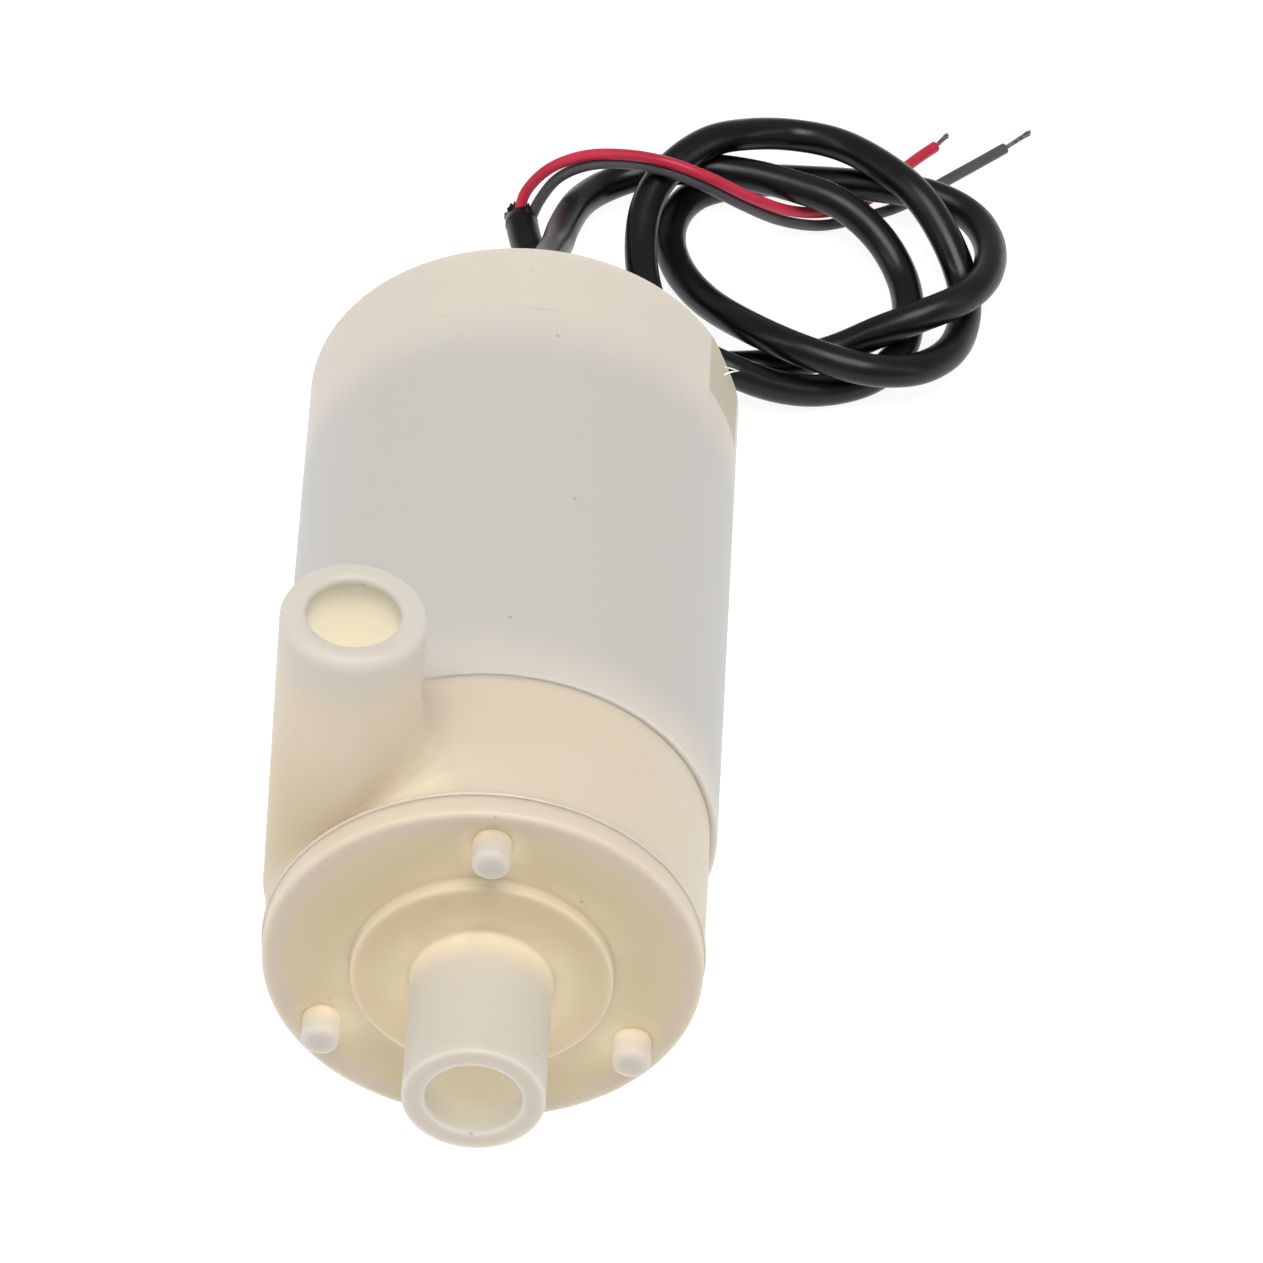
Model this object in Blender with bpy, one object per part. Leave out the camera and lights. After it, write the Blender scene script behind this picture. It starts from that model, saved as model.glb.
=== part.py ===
"""A small fountain submersible pump lying on its side, with its motor, rotor, impeller and cord.

Run with: blender --background --python part.py
Frame: metres, +Z up. The pump's axis runs along Y: the inlet tube points to -Y, the cord
leaves at +Y and the outlet tube points up. The origin is under the middle of the pump,
on the surface it lies on. Sizes below are in millimetres and are scaled once, by MM.
"""

import math

import bmesh
import bpy
from mathutils import Matrix, Vector

MM = 0.001
GAP = 0.1  # between two pieces that rest on each other or are glued

# Driving dimensions
HOUSING_R = 12.0
HOUSING_WALL = 1.3
AXIS_Z = HOUSING_R
REAR_Y = 26.8
SEAM_Y = -6.6
REAR_WALL = 1.8
EDGE_R = 0.6

HEAD_R = 11.8
HEAD_X = -0.2  # the head is glued on slightly off the housing's axis
HEAD_Z = AXIS_Z + 0.1
COVER_FRONT_Y = -17.0
COVER_THICK = 1.5
COVER_BACK_Y = COVER_FRONT_Y + COVER_THICK
CHAMBER_R = 8.6
CHAMBER_BACK_Y = -9.9
SPIGOT_R = HOUSING_R - HOUSING_WALL - GAP
SPIGOT_LONG = 1.4

TUBE_RIM = 0.35  # chamfer round a tube's mouth
INLET_R = 3.82
INLET_BORE_R = 2.6
INLET_TIP_Y = -26.6
BOSS_R = 7.05
BOSS_HIGH = 0.85
PIN_R = 1.05
PIN_RING_R = 9.65
PIN_LONG = 1.85
OUTLET_R = 3.88
OUTLET_BORE_R = 2.48
OUTLET_X = -8.39
OUTLET_Y = -11.4
OUTLET_TOP_Z = 32.6

CAN_R = 10.2
CAN_WALL = 0.7
CAN_FRONT_Y = -4.4
CAN_LONG = 24.4
CAN_REAR_Y = CAN_FRONT_Y + CAN_LONG
CAN_BOSS_R = 3.1
CAN_BOSS_LONG = 1.6
BELL_THICK = 2.4  # the end bell closes the can from inside its rear rim
BELL_REAR_Y = CAN_REAR_Y - 0.3
BELL_FRONT_Y = BELL_REAR_Y - BELL_THICK
BUSHING_R = 2.2
BUSHING_LONG = 2.0

SHAFT_R = 1.0
RUNNING = 0.05  # clearance of the shaft in its bushings
SHAFT_FRONT_Y = -14.2
SHAFT_REAR_Y = BELL_REAR_Y - 0.4
MAGNET_OUTER_R = CAN_R - CAN_WALL - 0.2
MAGNET_INNER_R = 7.6
MAGNET_ARC = math.radians(126)
MAGNET_YS = (-1.6, 12.4)
CORE_R = 7.15
CORE_YS = (1.4, 10.4)
CORE_HUB_R = 2.4
NECK_HALF = 1.4
SHOE_Z = 5.6  # underside of a pole's shoe, flat over the winding
SHOE_FLAT = 3.4
SHOE_END = (4.7, 4.6)
POLE_ARC = math.radians(88)
COIL_RS = (3.3, 5.5)
COIL_THICK = 1.7
COMMUTATOR_R = 2.3
COMMUTATOR_YS = (12.6, 16.2)

IMPELLER_R = 8.0
IMPELLER_HUB_R = 2.5
IMPELLER_YS = (-14.6, -10.4)
IMPELLER_DISC = 0.9
VANES = 6
VANE_THICK = 0.8

POTTING_FRONT_Y = 22.6
PLUG_R = 2.2
PLUG_OUT = 2.6
CORD_R = 0.95
WIRE_R = 0.33
TIN_R = 0.17

ROUND = 64  # sides of the outer turned pieces
SMALL_ROUND = 32  # sides of the small ones

# The cord's route, from the plug at the rear face to its cut end: out of the rear,
# down to the surface, and three loose turns beside the pump.
CORD_ROUTE = [
    (0.0, REAR_Y + PLUG_OUT + 0.3, 12.0), (0.0, 32.5, 11.8), (0.1, 36.4, 10.9), (0.4, 41.3, 8.4),
    (1.3, 48.0, 4.4), (1.7, 50.9, 3.3), (2.5, 53.9, 2.4), (3.8, 56.0, 1.8), (6.0, 57.2, 2.0),
    (8.8, 57.0, 2.9), (11.8, 56.6, 3.2), (14.7, 55.8, 3.3), (17.7, 54.6, 3.2), (20.1, 53.0, 2.2),
    (21.6, 50.7, 1.2), (22.0, 47.4, 0.95), (21.4, 44.4, 0.95), (19.7, 42.3, 0.95),
    (17.1, 41.1, 1.0), (14.5, 40.3, 1.8), (11.8, 40.2, 2.9), (9.3, 41.4, 3.2), (7.6, 43.8, 2.8),
    (6.6, 47.0, 2.6), (6.2, 50.0, 3.0), (6.3, 52.2, 3.6), (6.9, 54.0, 4.2), (8.2, 55.8, 4.7),
    (10.0, 57.5, 4.8), (12.4, 59.1, 4.1), (14.9, 59.8, 3.6), (17.4, 59.1, 3.8), (19.9, 57.1, 4.2),
    (22.2, 54.8, 4.1), (24.0, 52.5, 2.9), (25.1, 50.2, 1.6), (25.2, 47.2, 1.3), (24.3, 44.0, 1.9),
    (22.3, 41.6, 2.7), (19.6, 40.7, 3.3), (16.0, 41.6, 3.5), (12.6, 43.9, 3.0), (10.1, 47.0, 1.9),
    (8.5, 50.3, 1.1), (7.9, 52.9, 0.95), (8.2, 55.1, 0.95), (9.3, 56.9, 0.95), (11.2, 58.0, 0.95),
    (13.5, 58.6, 0.95), (16.0, 58.6, 1.1), (18.4, 58.0, 1.7), (20.8, 57.5, 2.1), (23.3, 57.0, 2.1),
    (25.4, 55.7, 2.0), (26.5, 53.0, 2.4), (26.3, 49.5, 3.1), (24.9, 46.9, 3.6), (22.6, 45.4, 3.4),
    (20.3, 44.8, 2.5), (17.8, 44.3, 1.2), (15.3, 43.3, 0.95), (12.5, 42.6, 0.95), (8.6, 42.4, 0.95),
    (4.6, 43.8, 0.95), (1.8, 46.5, 0.95), (0.3, 49.5, 0.95), (-0.4, 51.6, 0.95), (-0.8, 53.4, 0.95),
]
RED_ROUTE = [
    (-1.0, 53.7, 1.25), (-0.7, 54.5, 2.3), (0.5, 55.0, 3.8), (2.5, 55.0, 5.1), (5.0, 54.4, 6.0),
    (7.4, 53.6, 6.4), (9.9, 53.2, 5.8), (12.4, 53.5, 4.2), (14.7, 54.7, 2.3), (16.9, 56.3, 0.9),
    (18.8, 57.6, 0.45), (20.1, 59.0, 0.4), (21.3, 60.9, 0.35), (22.4, 62.3, 0.35), (23.3, 63.3, 0.35),
]
GREY_ROUTE = [
    (-0.4, 53.7, 0.55), (0.15, 54.5, 1.75), (1.15, 55.0, 3.2), (2.8, 54.95, 4.42), (5.15, 54.4, 5.3),
    (7.4, 53.6, 5.68), (9.65, 53.2, 5.13), (12.0, 53.45, 3.6), (14.3, 54.5, 1.65), (16.7, 55.5, 0.55),
    (18.9, 56.5, 0.4), (20.9, 57.6, 0.35), (22.5, 58.9, 0.35), (23.7, 60.1, 0.35),
    (25.5, 61.8, 0.35), (27.4, 63.6, 0.35),
]
RED_TIP = (24.0, 64.4, 0.35)
GREY_TIP = (28.9, 65.2, 0.35)


def clear_scene():
    for obj in list(bpy.data.objects):
        bpy.data.objects.remove(obj, do_unlink=True)


def make_material(name, colour, roughness, metallic=0.0):
    material = bpy.data.materials.new(name)
    material.use_nodes = True
    shader = material.node_tree.nodes["Principled BSDF"]
    shader.inputs["Base Color"].default_value = (*colour, 1.0)
    shader.inputs["Roughness"].default_value = roughness
    shader.inputs["Metallic"].default_value = metallic
    return material


clear_scene()
NYLON = make_material("natural_nylon", (0.78, 0.70, 0.58), 0.4)
STEEL = make_material("plated_steel", (0.55, 0.55, 0.56), 0.35, 1.0)
FERRITE = make_material("ferrite", (0.08, 0.08, 0.085), 0.7)
IRON = make_material("core_iron", (0.25, 0.25, 0.26), 0.5, 1.0)
COPPER = make_material("copper", (0.72, 0.33, 0.15), 0.3, 1.0)
BRONZE = make_material("bronze", (0.55, 0.38, 0.2), 0.4, 1.0)
RUBBER = make_material("seal_rubber", (0.03, 0.03, 0.03), 0.6)
WHITE_PLASTIC = make_material("white_plastic", (0.8, 0.8, 0.78), 0.45)
POTTING = make_material("potting_resin", (0.74, 0.67, 0.56), 0.5)
JACKET = make_material("cord_jacket", (0.012, 0.012, 0.012), 0.45)
RED = make_material("red_insulation", (0.75, 0.06, 0.1), 0.4)
GREY = make_material("grey_insulation", (0.1, 0.1, 0.11), 0.4)
TIN = make_material("tinned_copper", (0.5, 0.48, 0.45), 0.35, 1.0)


def add_object(name, bm, material, place=(0, 0, 0), helper=False):
    """The bmesh, drawn in millimetres, becomes an object in metres at a place in millimetres."""
    bmesh.ops.remove_doubles(bm, verts=bm.verts, dist=1e-4)
    bmesh.ops.recalc_face_normals(bm, faces=bm.faces)
    bmesh.ops.scale(bm, vec=(MM, MM, MM), verts=bm.verts)
    mesh = bpy.data.meshes.new(name)
    bm.to_mesh(mesh)
    bm.free()
    mesh.materials.append(material)
    mesh.shade_smooth()
    mesh.set_sharp_from_angle(angle=math.radians(35))
    obj = bpy.data.objects.new(name, mesh)
    obj.location = Vector(place) * MM
    bpy.context.scene.collection.objects.link(obj)
    if helper:
        obj.hide_render = True
        obj.display_type = "WIRE"
    return obj


def turned(profile, sides=SMALL_ROUND, closed=True):
    """A profile of (radius, y) points turned once round Y. An open one starts and ends on the axis."""
    bm = bmesh.new()
    verts = [bm.verts.new((radius, y, 0)) for radius, y in profile]
    edges = [bm.edges.new(pair) for pair in zip(verts, verts[1:])]
    if closed:
        edges.append(bm.edges.new((verts[-1], verts[0])))
    # Half a side round, so that a side lies flat underneath
    bmesh.ops.rotate(bm, verts=verts, matrix=Matrix.Rotation(math.pi / sides, 3, "Y"))
    bmesh.ops.spin(
        bm, geom=verts + edges, axis=(0, 1, 0), angle=math.tau, steps=sides, use_merge=True
    )
    return bm


def rod(radius, y_from, y_to, sides=SMALL_ROUND):
    return turned([(0, y_from), (radius, y_from), (radius, y_to), (0, y_to)], sides, closed=False)


def ring(outer, inner, y_from, y_to, sides=SMALL_ROUND):
    return turned([(inner, y_from), (outer, y_from), (outer, y_to), (inner, y_to)], sides)


def extruded(outline, y_from, y_to):
    """A flat (x, z) outline pushed along Y."""
    bm = bmesh.new()
    face = bm.faces.new([bm.verts.new((x, y_from, z)) for x, z in outline])
    pushed = bmesh.ops.extrude_face_region(bm, geom=[face])
    moved = [item for item in pushed["geom"] if isinstance(item, bmesh.types.BMVert)]
    bmesh.ops.translate(bm, verts=moved, vec=(0, y_to - y_from, 0))
    return bm


def block(low, high):
    corners = [(low[0], low[2]), (high[0], low[2]), (high[0], high[2]), (low[0], high[2])]
    return extruded(corners, low[1], high[1])


def arc(radius, start, sweep, steps):
    """(x, z) points along an arc, its angle measured from +X towards +Z."""
    angles = [start + sweep * step / steps for step in range(steps + 1)]
    return [(radius * math.cos(angle), radius * math.sin(angle)) for angle in angles]


def combine(target, other, operation):
    modifier = target.modifiers.new(f"{operation.lower()}_{other.name}", "BOOLEAN")
    modifier.operation = operation
    modifier.solver = "EXACT"
    modifier.object = other


# The wet end: cover, head and impeller


def make_inlet_cover():
    plate = turned(
        [
            (INLET_BORE_R, COVER_BACK_Y), (INLET_BORE_R, INLET_TIP_Y + TUBE_RIM / 2),
            (INLET_BORE_R + TUBE_RIM / 2, INLET_TIP_Y), (INLET_R - TUBE_RIM, INLET_TIP_Y),
            (INLET_R, INLET_TIP_Y + TUBE_RIM), (INLET_R, COVER_FRONT_Y - BOSS_HIGH),
            (BOSS_R - 0.2, COVER_FRONT_Y - BOSS_HIGH), (BOSS_R, COVER_FRONT_Y - BOSS_HIGH + 0.2),
            (BOSS_R, COVER_FRONT_Y), (HEAD_R - 0.3, COVER_FRONT_Y),
            (HEAD_R, COVER_FRONT_Y + 0.3), (HEAD_R, COVER_BACK_Y),
        ],
        ROUND,
    )
    cover = add_object("inlet_cover", plate, NYLON, (HEAD_X, 0, HEAD_Z))
    tip_y = COVER_FRONT_Y - PIN_LONG
    for number, angle in enumerate((90, 210, 330), 1):
        pin = turned(
            [
                (0, COVER_FRONT_Y + COVER_THICK / 2), (PIN_R, COVER_FRONT_Y + COVER_THICK / 2),
                (PIN_R, tip_y + 0.35), (PIN_R - 0.35, tip_y), (0, tip_y),
            ],
            16,
            closed=False,
        )
        across = PIN_RING_R * math.cos(math.radians(angle))
        up = PIN_RING_R * math.sin(math.radians(angle))
        place = (HEAD_X + across, 0, HEAD_Z + up)
        combine(cover, add_object(f"pin_{number}", pin, NYLON, place, helper=True), "UNION")


def make_pump_head():
    back_y = SEAM_Y - GAP
    front_y = COVER_BACK_Y + GAP
    shell = turned(
        [
            (0, front_y), (HEAD_R, front_y), (HEAD_R, back_y), (SPIGOT_R - 0.2, back_y),
            (SPIGOT_R - 0.2, back_y + SPIGOT_LONG), (0, back_y + SPIGOT_LONG),
        ],
        ROUND,
        closed=False,
    )
    head = add_object("pump_head", shell, NYLON, (HEAD_X, 0, HEAD_Z))
    # The outlet tube starts as a round end in the head's side and stands up out of it
    high = OUTLET_TOP_Z - HEAD_Z
    round_end = [
        (OUTLET_R * math.sin(step * math.pi / 12), -OUTLET_R * math.cos(step * math.pi / 12))
        for step in range(7)
    ]
    mouth = [(OUTLET_R, high - TUBE_RIM), (OUTLET_R - TUBE_RIM, high), (0, high)]
    tube = turned(round_end + mouth, 40, closed=False)
    bmesh.ops.rotate(tube, verts=tube.verts, matrix=Matrix.Rotation(math.pi / 2, 3, "X"))
    tube_place = (OUTLET_X, OUTLET_Y, HEAD_Z)
    combine(head, add_object("outlet_tube", tube, NYLON, tube_place, helper=True), "UNION")
    bore = turned(
        [
            (0, -0.5), (OUTLET_BORE_R, -0.5), (OUTLET_BORE_R, high - TUBE_RIM / 2),
            (OUTLET_BORE_R + TUBE_RIM, high + TUBE_RIM / 2), (0, high + TUBE_RIM / 2),
        ],
        SMALL_ROUND,
        closed=False,
    )
    bmesh.ops.rotate(bore, verts=bore.verts, matrix=Matrix.Rotation(math.pi / 2, 3, "X"))
    combine(head, add_object("outlet_bore", bore, NYLON, tube_place, helper=True), "DIFFERENCE")
    chamber = rod(CHAMBER_R, front_y - 1, CHAMBER_BACK_Y, ROUND)
    combine(head, add_object("chamber", chamber, NYLON, (0, 0, AXIS_Z), helper=True), "DIFFERENCE")
    seal_bore = rod(PLUG_R + 0.8, CHAMBER_BACK_Y - 1, back_y - 0.6)
    combine(head, add_object("seal_bore", seal_bore, NYLON, (0, 0, AXIS_Z), helper=True), "DIFFERENCE")
    recess = rod(CAN_BOSS_R + 0.3, back_y - 0.6, back_y + SPIGOT_LONG + 1)
    combine(head, add_object("boss_recess", recess, NYLON, (0, 0, AXIS_Z), helper=True), "DIFFERENCE")


def make_shaft_seal():
    outer = PLUG_R + 0.7
    seal = turned(
        [
            (SHAFT_R + 0.1, CHAMBER_BACK_Y + 0.1), (outer, CHAMBER_BACK_Y + 0.1),
            (outer, SEAM_Y - 0.9), (SHAFT_R + 0.7, SEAM_Y - 0.9),
            (SHAFT_R + 0.7, SEAM_Y - 1.9), (SHAFT_R + 0.1, SEAM_Y - 1.9),
        ]
    )
    add_object("shaft_seal", seal, RUBBER, (0, 0, AXIS_Z))


def make_impeller():
    y_front, y_back = IMPELLER_YS
    bore = SHAFT_R + GAP
    hub = turned(
        [
            (bore, y_back), (bore, y_front + 1.2), (IMPELLER_HUB_R - 0.6, y_front + 1.2),
            (IMPELLER_HUB_R, y_front + 2.0), (IMPELLER_HUB_R, y_back - IMPELLER_DISC),
            (IMPELLER_R, y_back - IMPELLER_DISC), (IMPELLER_R, y_back),
        ],
        48,
    )
    impeller = add_object("impeller", hub, WHITE_PLASTIC, (0, 0, AXIS_Z))
    for number in range(1, VANES + 1):
        # Each vane leans back from the hub to the disc's edge
        root, tip = IMPELLER_HUB_R - 0.4, IMPELLER_R - 0.2
        lean = math.radians(38)
        spine = [
            (root + (tip - root) * step / 5, lean * (step / 5) ** 1.4) for step in range(6)
        ]
        left = [(radius * math.cos(turn), radius * math.sin(turn)) for radius, turn in spine]
        behind = [(radius, turn + VANE_THICK / radius) for radius, turn in reversed(spine)]
        right = [(radius * math.cos(turn), radius * math.sin(turn)) for radius, turn in behind]
        vane = extruded(left + right, y_front, y_back - IMPELLER_DISC / 2)
        bmesh.ops.rotate(
            vane, verts=vane.verts, matrix=Matrix.Rotation(math.tau * number / VANES, 3, "Y")
        )
        helper = add_object(f"vane_{number}", vane, WHITE_PLASTIC, (0, 0, AXIS_Z), helper=True)
        combine(impeller, helper, "UNION")


# The dry end: housing, motor and potting


def make_motor_housing():
    inner = HOUSING_R - HOUSING_WALL
    rear_inner_y = REAR_Y - REAR_WALL
    hole = PLUG_R + GAP
    shell = turned(
        [
            (inner, SEAM_Y), (HOUSING_R - 0.15, SEAM_Y), (HOUSING_R, SEAM_Y + 0.15),
            (HOUSING_R, REAR_Y - EDGE_R), (HOUSING_R - EDGE_R * 0.3, REAR_Y - EDGE_R * 0.3),
            (HOUSING_R - EDGE_R, REAR_Y), (hole, REAR_Y), (hole, rear_inner_y), (inner, rear_inner_y),
        ],
        ROUND,
    )
    add_object("motor_housing", shell, NYLON, (0, 0, AXIS_Z))


def make_motor_can():
    boss_y = CAN_FRONT_Y - CAN_BOSS_LONG
    bushing_hole = BUSHING_R + GAP
    shell = turned(
        [
            (bushing_hole, boss_y), (CAN_BOSS_R, boss_y), (CAN_BOSS_R, CAN_FRONT_Y),
            (CAN_R - 0.8, CAN_FRONT_Y), (CAN_R, CAN_FRONT_Y + 0.8), (CAN_R, CAN_REAR_Y),
            (CAN_R - CAN_WALL, CAN_REAR_Y), (CAN_R - CAN_WALL, CAN_FRONT_Y + CAN_WALL),
            (bushing_hole, CAN_FRONT_Y + CAN_WALL),
        ],
        48,
    )
    add_object("motor_can", shell, STEEL, (0, 0, AXIS_Z))


def make_bushing(name, y_from):
    bushing = ring(BUSHING_R, SHAFT_R + RUNNING, y_from, y_from + BUSHING_LONG)
    add_object(name, bushing, BRONZE, (0, 0, AXIS_Z))


def make_magnet(name, middle):
    outer = arc(MAGNET_OUTER_R, middle - MAGNET_ARC / 2, MAGNET_ARC, 14)
    inner = arc(MAGNET_INNER_R, middle + MAGNET_ARC / 2, -MAGNET_ARC, 14)
    add_object(name, extruded(outer + inner, *MAGNET_YS), FERRITE, (0, 0, AXIS_Z))


def make_end_bell():
    outer = CAN_R - CAN_WALL - GAP
    bell = turned(
        [
            (BUSHING_R + GAP, BELL_FRONT_Y), (outer, BELL_FRONT_Y), (outer, BELL_REAR_Y - 0.3),
            (outer - 0.3, BELL_REAR_Y), (BUSHING_R + GAP, BELL_REAR_Y),
        ],
        48,
    )
    add_object("end_bell", bell, WHITE_PLASTIC, (0, 0, AXIS_Z))


def make_terminal(name, side):
    """A folded tab on the end bell, with a hole for the lead."""
    y_from, y_to = BELL_REAR_Y + GAP, BELL_REAR_Y + 1.9
    blade = block((side * 5.0 - 0.25, y_from, -1.2), (side * 5.0 + 0.25, y_to, 1.2))
    terminal = add_object(name, blade, COPPER, (0, 0, AXIS_Z))
    hole = turned([(0, -1), (0.45, -1), (0.45, 1), (0, 1)], 12, closed=False)
    bmesh.ops.rotate(hole, verts=hole.verts, matrix=Matrix.Rotation(math.pi / 2, 3, "Z"))
    place = (side * 5.0, y_to - 0.8, AXIS_Z)
    combine(terminal, add_object(f"{name}_hole", hole, COPPER, place, helper=True), "DIFFERENCE")


def make_brush(name, side):
    """A copper leaf that stands on the end bell and presses a carbon tip on the commutator."""
    leaf_x = COMMUTATOR_R + 1.3
    tip_from = COMMUTATOR_R + 0.12
    y_from, y_to = COMMUTATOR_YS[0] + 0.5, BELL_FRONT_Y - GAP
    middle = (COMMUTATOR_YS[0] + COMMUTATOR_YS[1]) / 2
    leaf = add_object(
        name, block((leaf_x, y_from, -1.1), (leaf_x + 0.3, y_to, 1.1)), COPPER, (0, 0, AXIS_Z)
    )
    tip = block((tip_from, middle - 0.8, -0.8), (leaf_x + 0.1, middle + 0.8, 0.8))
    combine(leaf, add_object(f"{name}_tip", tip, COPPER, (0, 0, AXIS_Z), helper=True), "UNION")
    if side < 0:
        turn = Matrix.Rotation(math.pi, 4, "Y")
        leaf.matrix_world = Matrix.Translation(leaf.location) @ turn
        helper = bpy.data.objects[f"{name}_tip"]
        helper.matrix_world = Matrix.Translation(helper.location) @ turn


def make_potting():
    potting = ring(
        HOUSING_R - HOUSING_WALL - GAP, PLUG_R + GAP, POTTING_FRONT_Y, REAR_Y - REAR_WALL - GAP, 48
    )
    add_object("potting_plug", potting, POTTING, (0, 0, AXIS_Z))


# The rotor, turning about the pump's axis


def make_shaft():
    shaft = turned(
        [
            (0, SHAFT_FRONT_Y), (SHAFT_R - 0.2, SHAFT_FRONT_Y), (SHAFT_R, SHAFT_FRONT_Y + 0.2),
            (SHAFT_R, SHAFT_REAR_Y - 0.2), (SHAFT_R - 0.2, SHAFT_REAR_Y), (0, SHAFT_REAR_Y),
        ],
        SMALL_ROUND,
        closed=False,
    )
    add_object("shaft", shaft, STEEL, (0, 0, AXIS_Z))


def core_outline():
    """Three T-shaped poles round a hub, as the lamination's stamped outline."""
    root_z = math.sqrt(CORE_HUB_R**2 - NECK_HALF**2)
    right = [(NECK_HALF, root_z), (NECK_HALF, SHOE_Z), (SHOE_FLAT, SHOE_Z), SHOE_END]
    left = [(-across, up) for across, up in reversed(right)]
    pole = right + arc(CORE_R, math.pi / 2 - POLE_ARC / 2, POLE_ARC, 10) + left
    points = []
    for number in range(3):
        cos, sin = math.cos(math.tau * number / 3), math.sin(math.tau * number / 3)
        points += [(across * cos - up * sin, across * sin + up * cos) for across, up in pole]
    return points


def make_armature_core():
    core = add_object("armature_core", extruded(core_outline(), *CORE_YS), IRON, (0, 0, AXIS_Z))
    hole = rod(SHAFT_R + GAP, CORE_YS[0] - 1, CORE_YS[1] + 1)
    combine(core, add_object("core_bore", hole, IRON, (0, 0, AXIS_Z), helper=True), "DIFFERENCE")


def make_coil(name, pole):
    """A winding that goes round one pole's neck, rounded where it turns over the core's ends."""
    half_in, half_out = NECK_HALF + 0.2, NECK_HALF + 0.2 + COIL_THICK
    y_in = (CORE_YS[0] - 0.2, CORE_YS[1] + 0.2)
    y_out = (y_in[0] - COIL_THICK, y_in[1] + COIL_THICK)
    bm = block((-half_out, y_out[0], COIL_RS[0]), (half_out, y_out[1], COIL_RS[1]))
    bmesh.ops.bevel(
        bm, geom=bm.edges[:], offset=0.6, segments=2, affect="EDGES", profile=0.5, material=-1
    )
    turn = Matrix.Rotation(-math.tau * pole / 3, 3, "Y")
    bmesh.ops.rotate(bm, verts=bm.verts, matrix=turn)
    coil = add_object(name, bm, COPPER, (0, 0, AXIS_Z))
    hole = block((-half_in, y_in[0], COIL_RS[0] - 1), (half_in, y_in[1], COIL_RS[1] + 1))
    bmesh.ops.rotate(hole, verts=hole.verts, matrix=turn)
    combine(coil, add_object(f"{name}_hole", hole, COPPER, (0, 0, AXIS_Z), helper=True), "DIFFERENCE")


def make_commutator():
    y_from, y_to = COMMUTATOR_YS
    drum = turned(
        [
            (SHAFT_R + GAP, y_from - 1.6), (COMMUTATOR_R - 0.5, y_from - 1.6),
            (COMMUTATOR_R - 0.5, y_from - 0.4), (COMMUTATOR_R, y_from - 0.4), (COMMUTATOR_R, y_to),
            (SHAFT_R + GAP, y_to),
        ],
        36,
    )
    commutator = add_object("commutator", drum, COPPER, (0, 0, AXIS_Z))
    for number in range(3):
        slot = block((-0.15, y_from - 0.2, COMMUTATOR_R - 0.5), (0.15, y_to + 0.5, COMMUTATOR_R + 1))
        bmesh.ops.rotate(
            slot, verts=slot.verts, matrix=Matrix.Rotation(math.tau * (number + 0.5) / 3, 3, "Y")
        )
        helper = add_object(f"slot_{number}", slot, COPPER, (0, 0, AXIS_Z), helper=True)
        combine(commutator, helper, "DIFFERENCE")


def make_washer(name, y_from):
    add_object(name, ring(1.9, SHAFT_R + GAP, y_from, y_from + 0.5, 24), WHITE_PLASTIC, (0, 0, AXIS_Z))


# The cord and its wires


def smooth_points(route, count):
    """Evenly spaced points along a centripetal Catmull-Rom curve through the route."""
    knots = [Vector(point) for point in route]
    knots = [2 * knots[0] - knots[1]] + knots + [2 * knots[-1] - knots[-2]]
    fine = []
    for a, b, c, d in zip(knots, knots[1:], knots[2:], knots[3:]):
        ab, bc, cd = math.sqrt((b - a).length), math.sqrt((c - b).length), math.sqrt((d - c).length)
        start = (b - a) / ab - (c - a) / (ab + bc) + (c - b) / bc
        end = (c - b) / bc - (d - b) / (bc + cd) + (d - c) / cd
        start, end = start * bc, end * bc
        for step in range(16):
            t = step / 16
            fine.append(
                b * (2 * t**3 - 3 * t**2 + 1) + start * (t**3 - 2 * t**2 + t)
                + c * (3 * t**2 - 2 * t**3) + end * (t**3 - t**2)
            )
    fine.append(knots[-2])
    lengths = [0.0]
    for first, second in zip(fine, fine[1:]):
        lengths.append(lengths[-1] + (second - first).length)
    points, segment = [], 0
    for number in range(count):
        wanted = lengths[-1] * number / (count - 1)
        while segment < len(lengths) - 2 and lengths[segment + 1] < wanted:
            segment += 1
        share = (wanted - lengths[segment]) / (lengths[segment + 1] - lengths[segment])
        points.append(fine[segment].lerp(fine[segment + 1], min(max(share, 0.0), 1.0)))
    return points


def make_tube(name, points, radius, material):
    curve = bpy.data.curves.new(name, "CURVE")
    curve.dimensions = "3D"
    curve.bevel_depth = radius * MM
    curve.bevel_resolution = 2
    curve.use_fill_caps = True
    spline = curve.splines.new("POLY")
    spline.points.add(len(points) - 1)
    for spline_point, point in zip(spline.points, points):
        spline_point.co = (*(Vector(point) * MM), 1.0)
    curve.materials.append(material)
    obj = bpy.data.objects.new(name, curve)
    bpy.context.scene.collection.objects.link(obj)


def make_cable_seal():
    """The moulded plug in the rear wall, tapering to the cord."""
    plug = turned(
        [
            (0, POTTING_FRONT_Y + 0.4), (PLUG_R, POTTING_FRONT_Y + 0.4), (PLUG_R, REAR_Y + 0.2),
            (CORD_R + 0.75, REAR_Y + 0.9), (CORD_R + 0.25, REAR_Y + PLUG_OUT), (0, REAR_Y + PLUG_OUT),
        ],
        24,
        closed=False,
    )
    add_object("cable_seal", plug, RUBBER, (0, 0, AXIS_Z))


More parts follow.
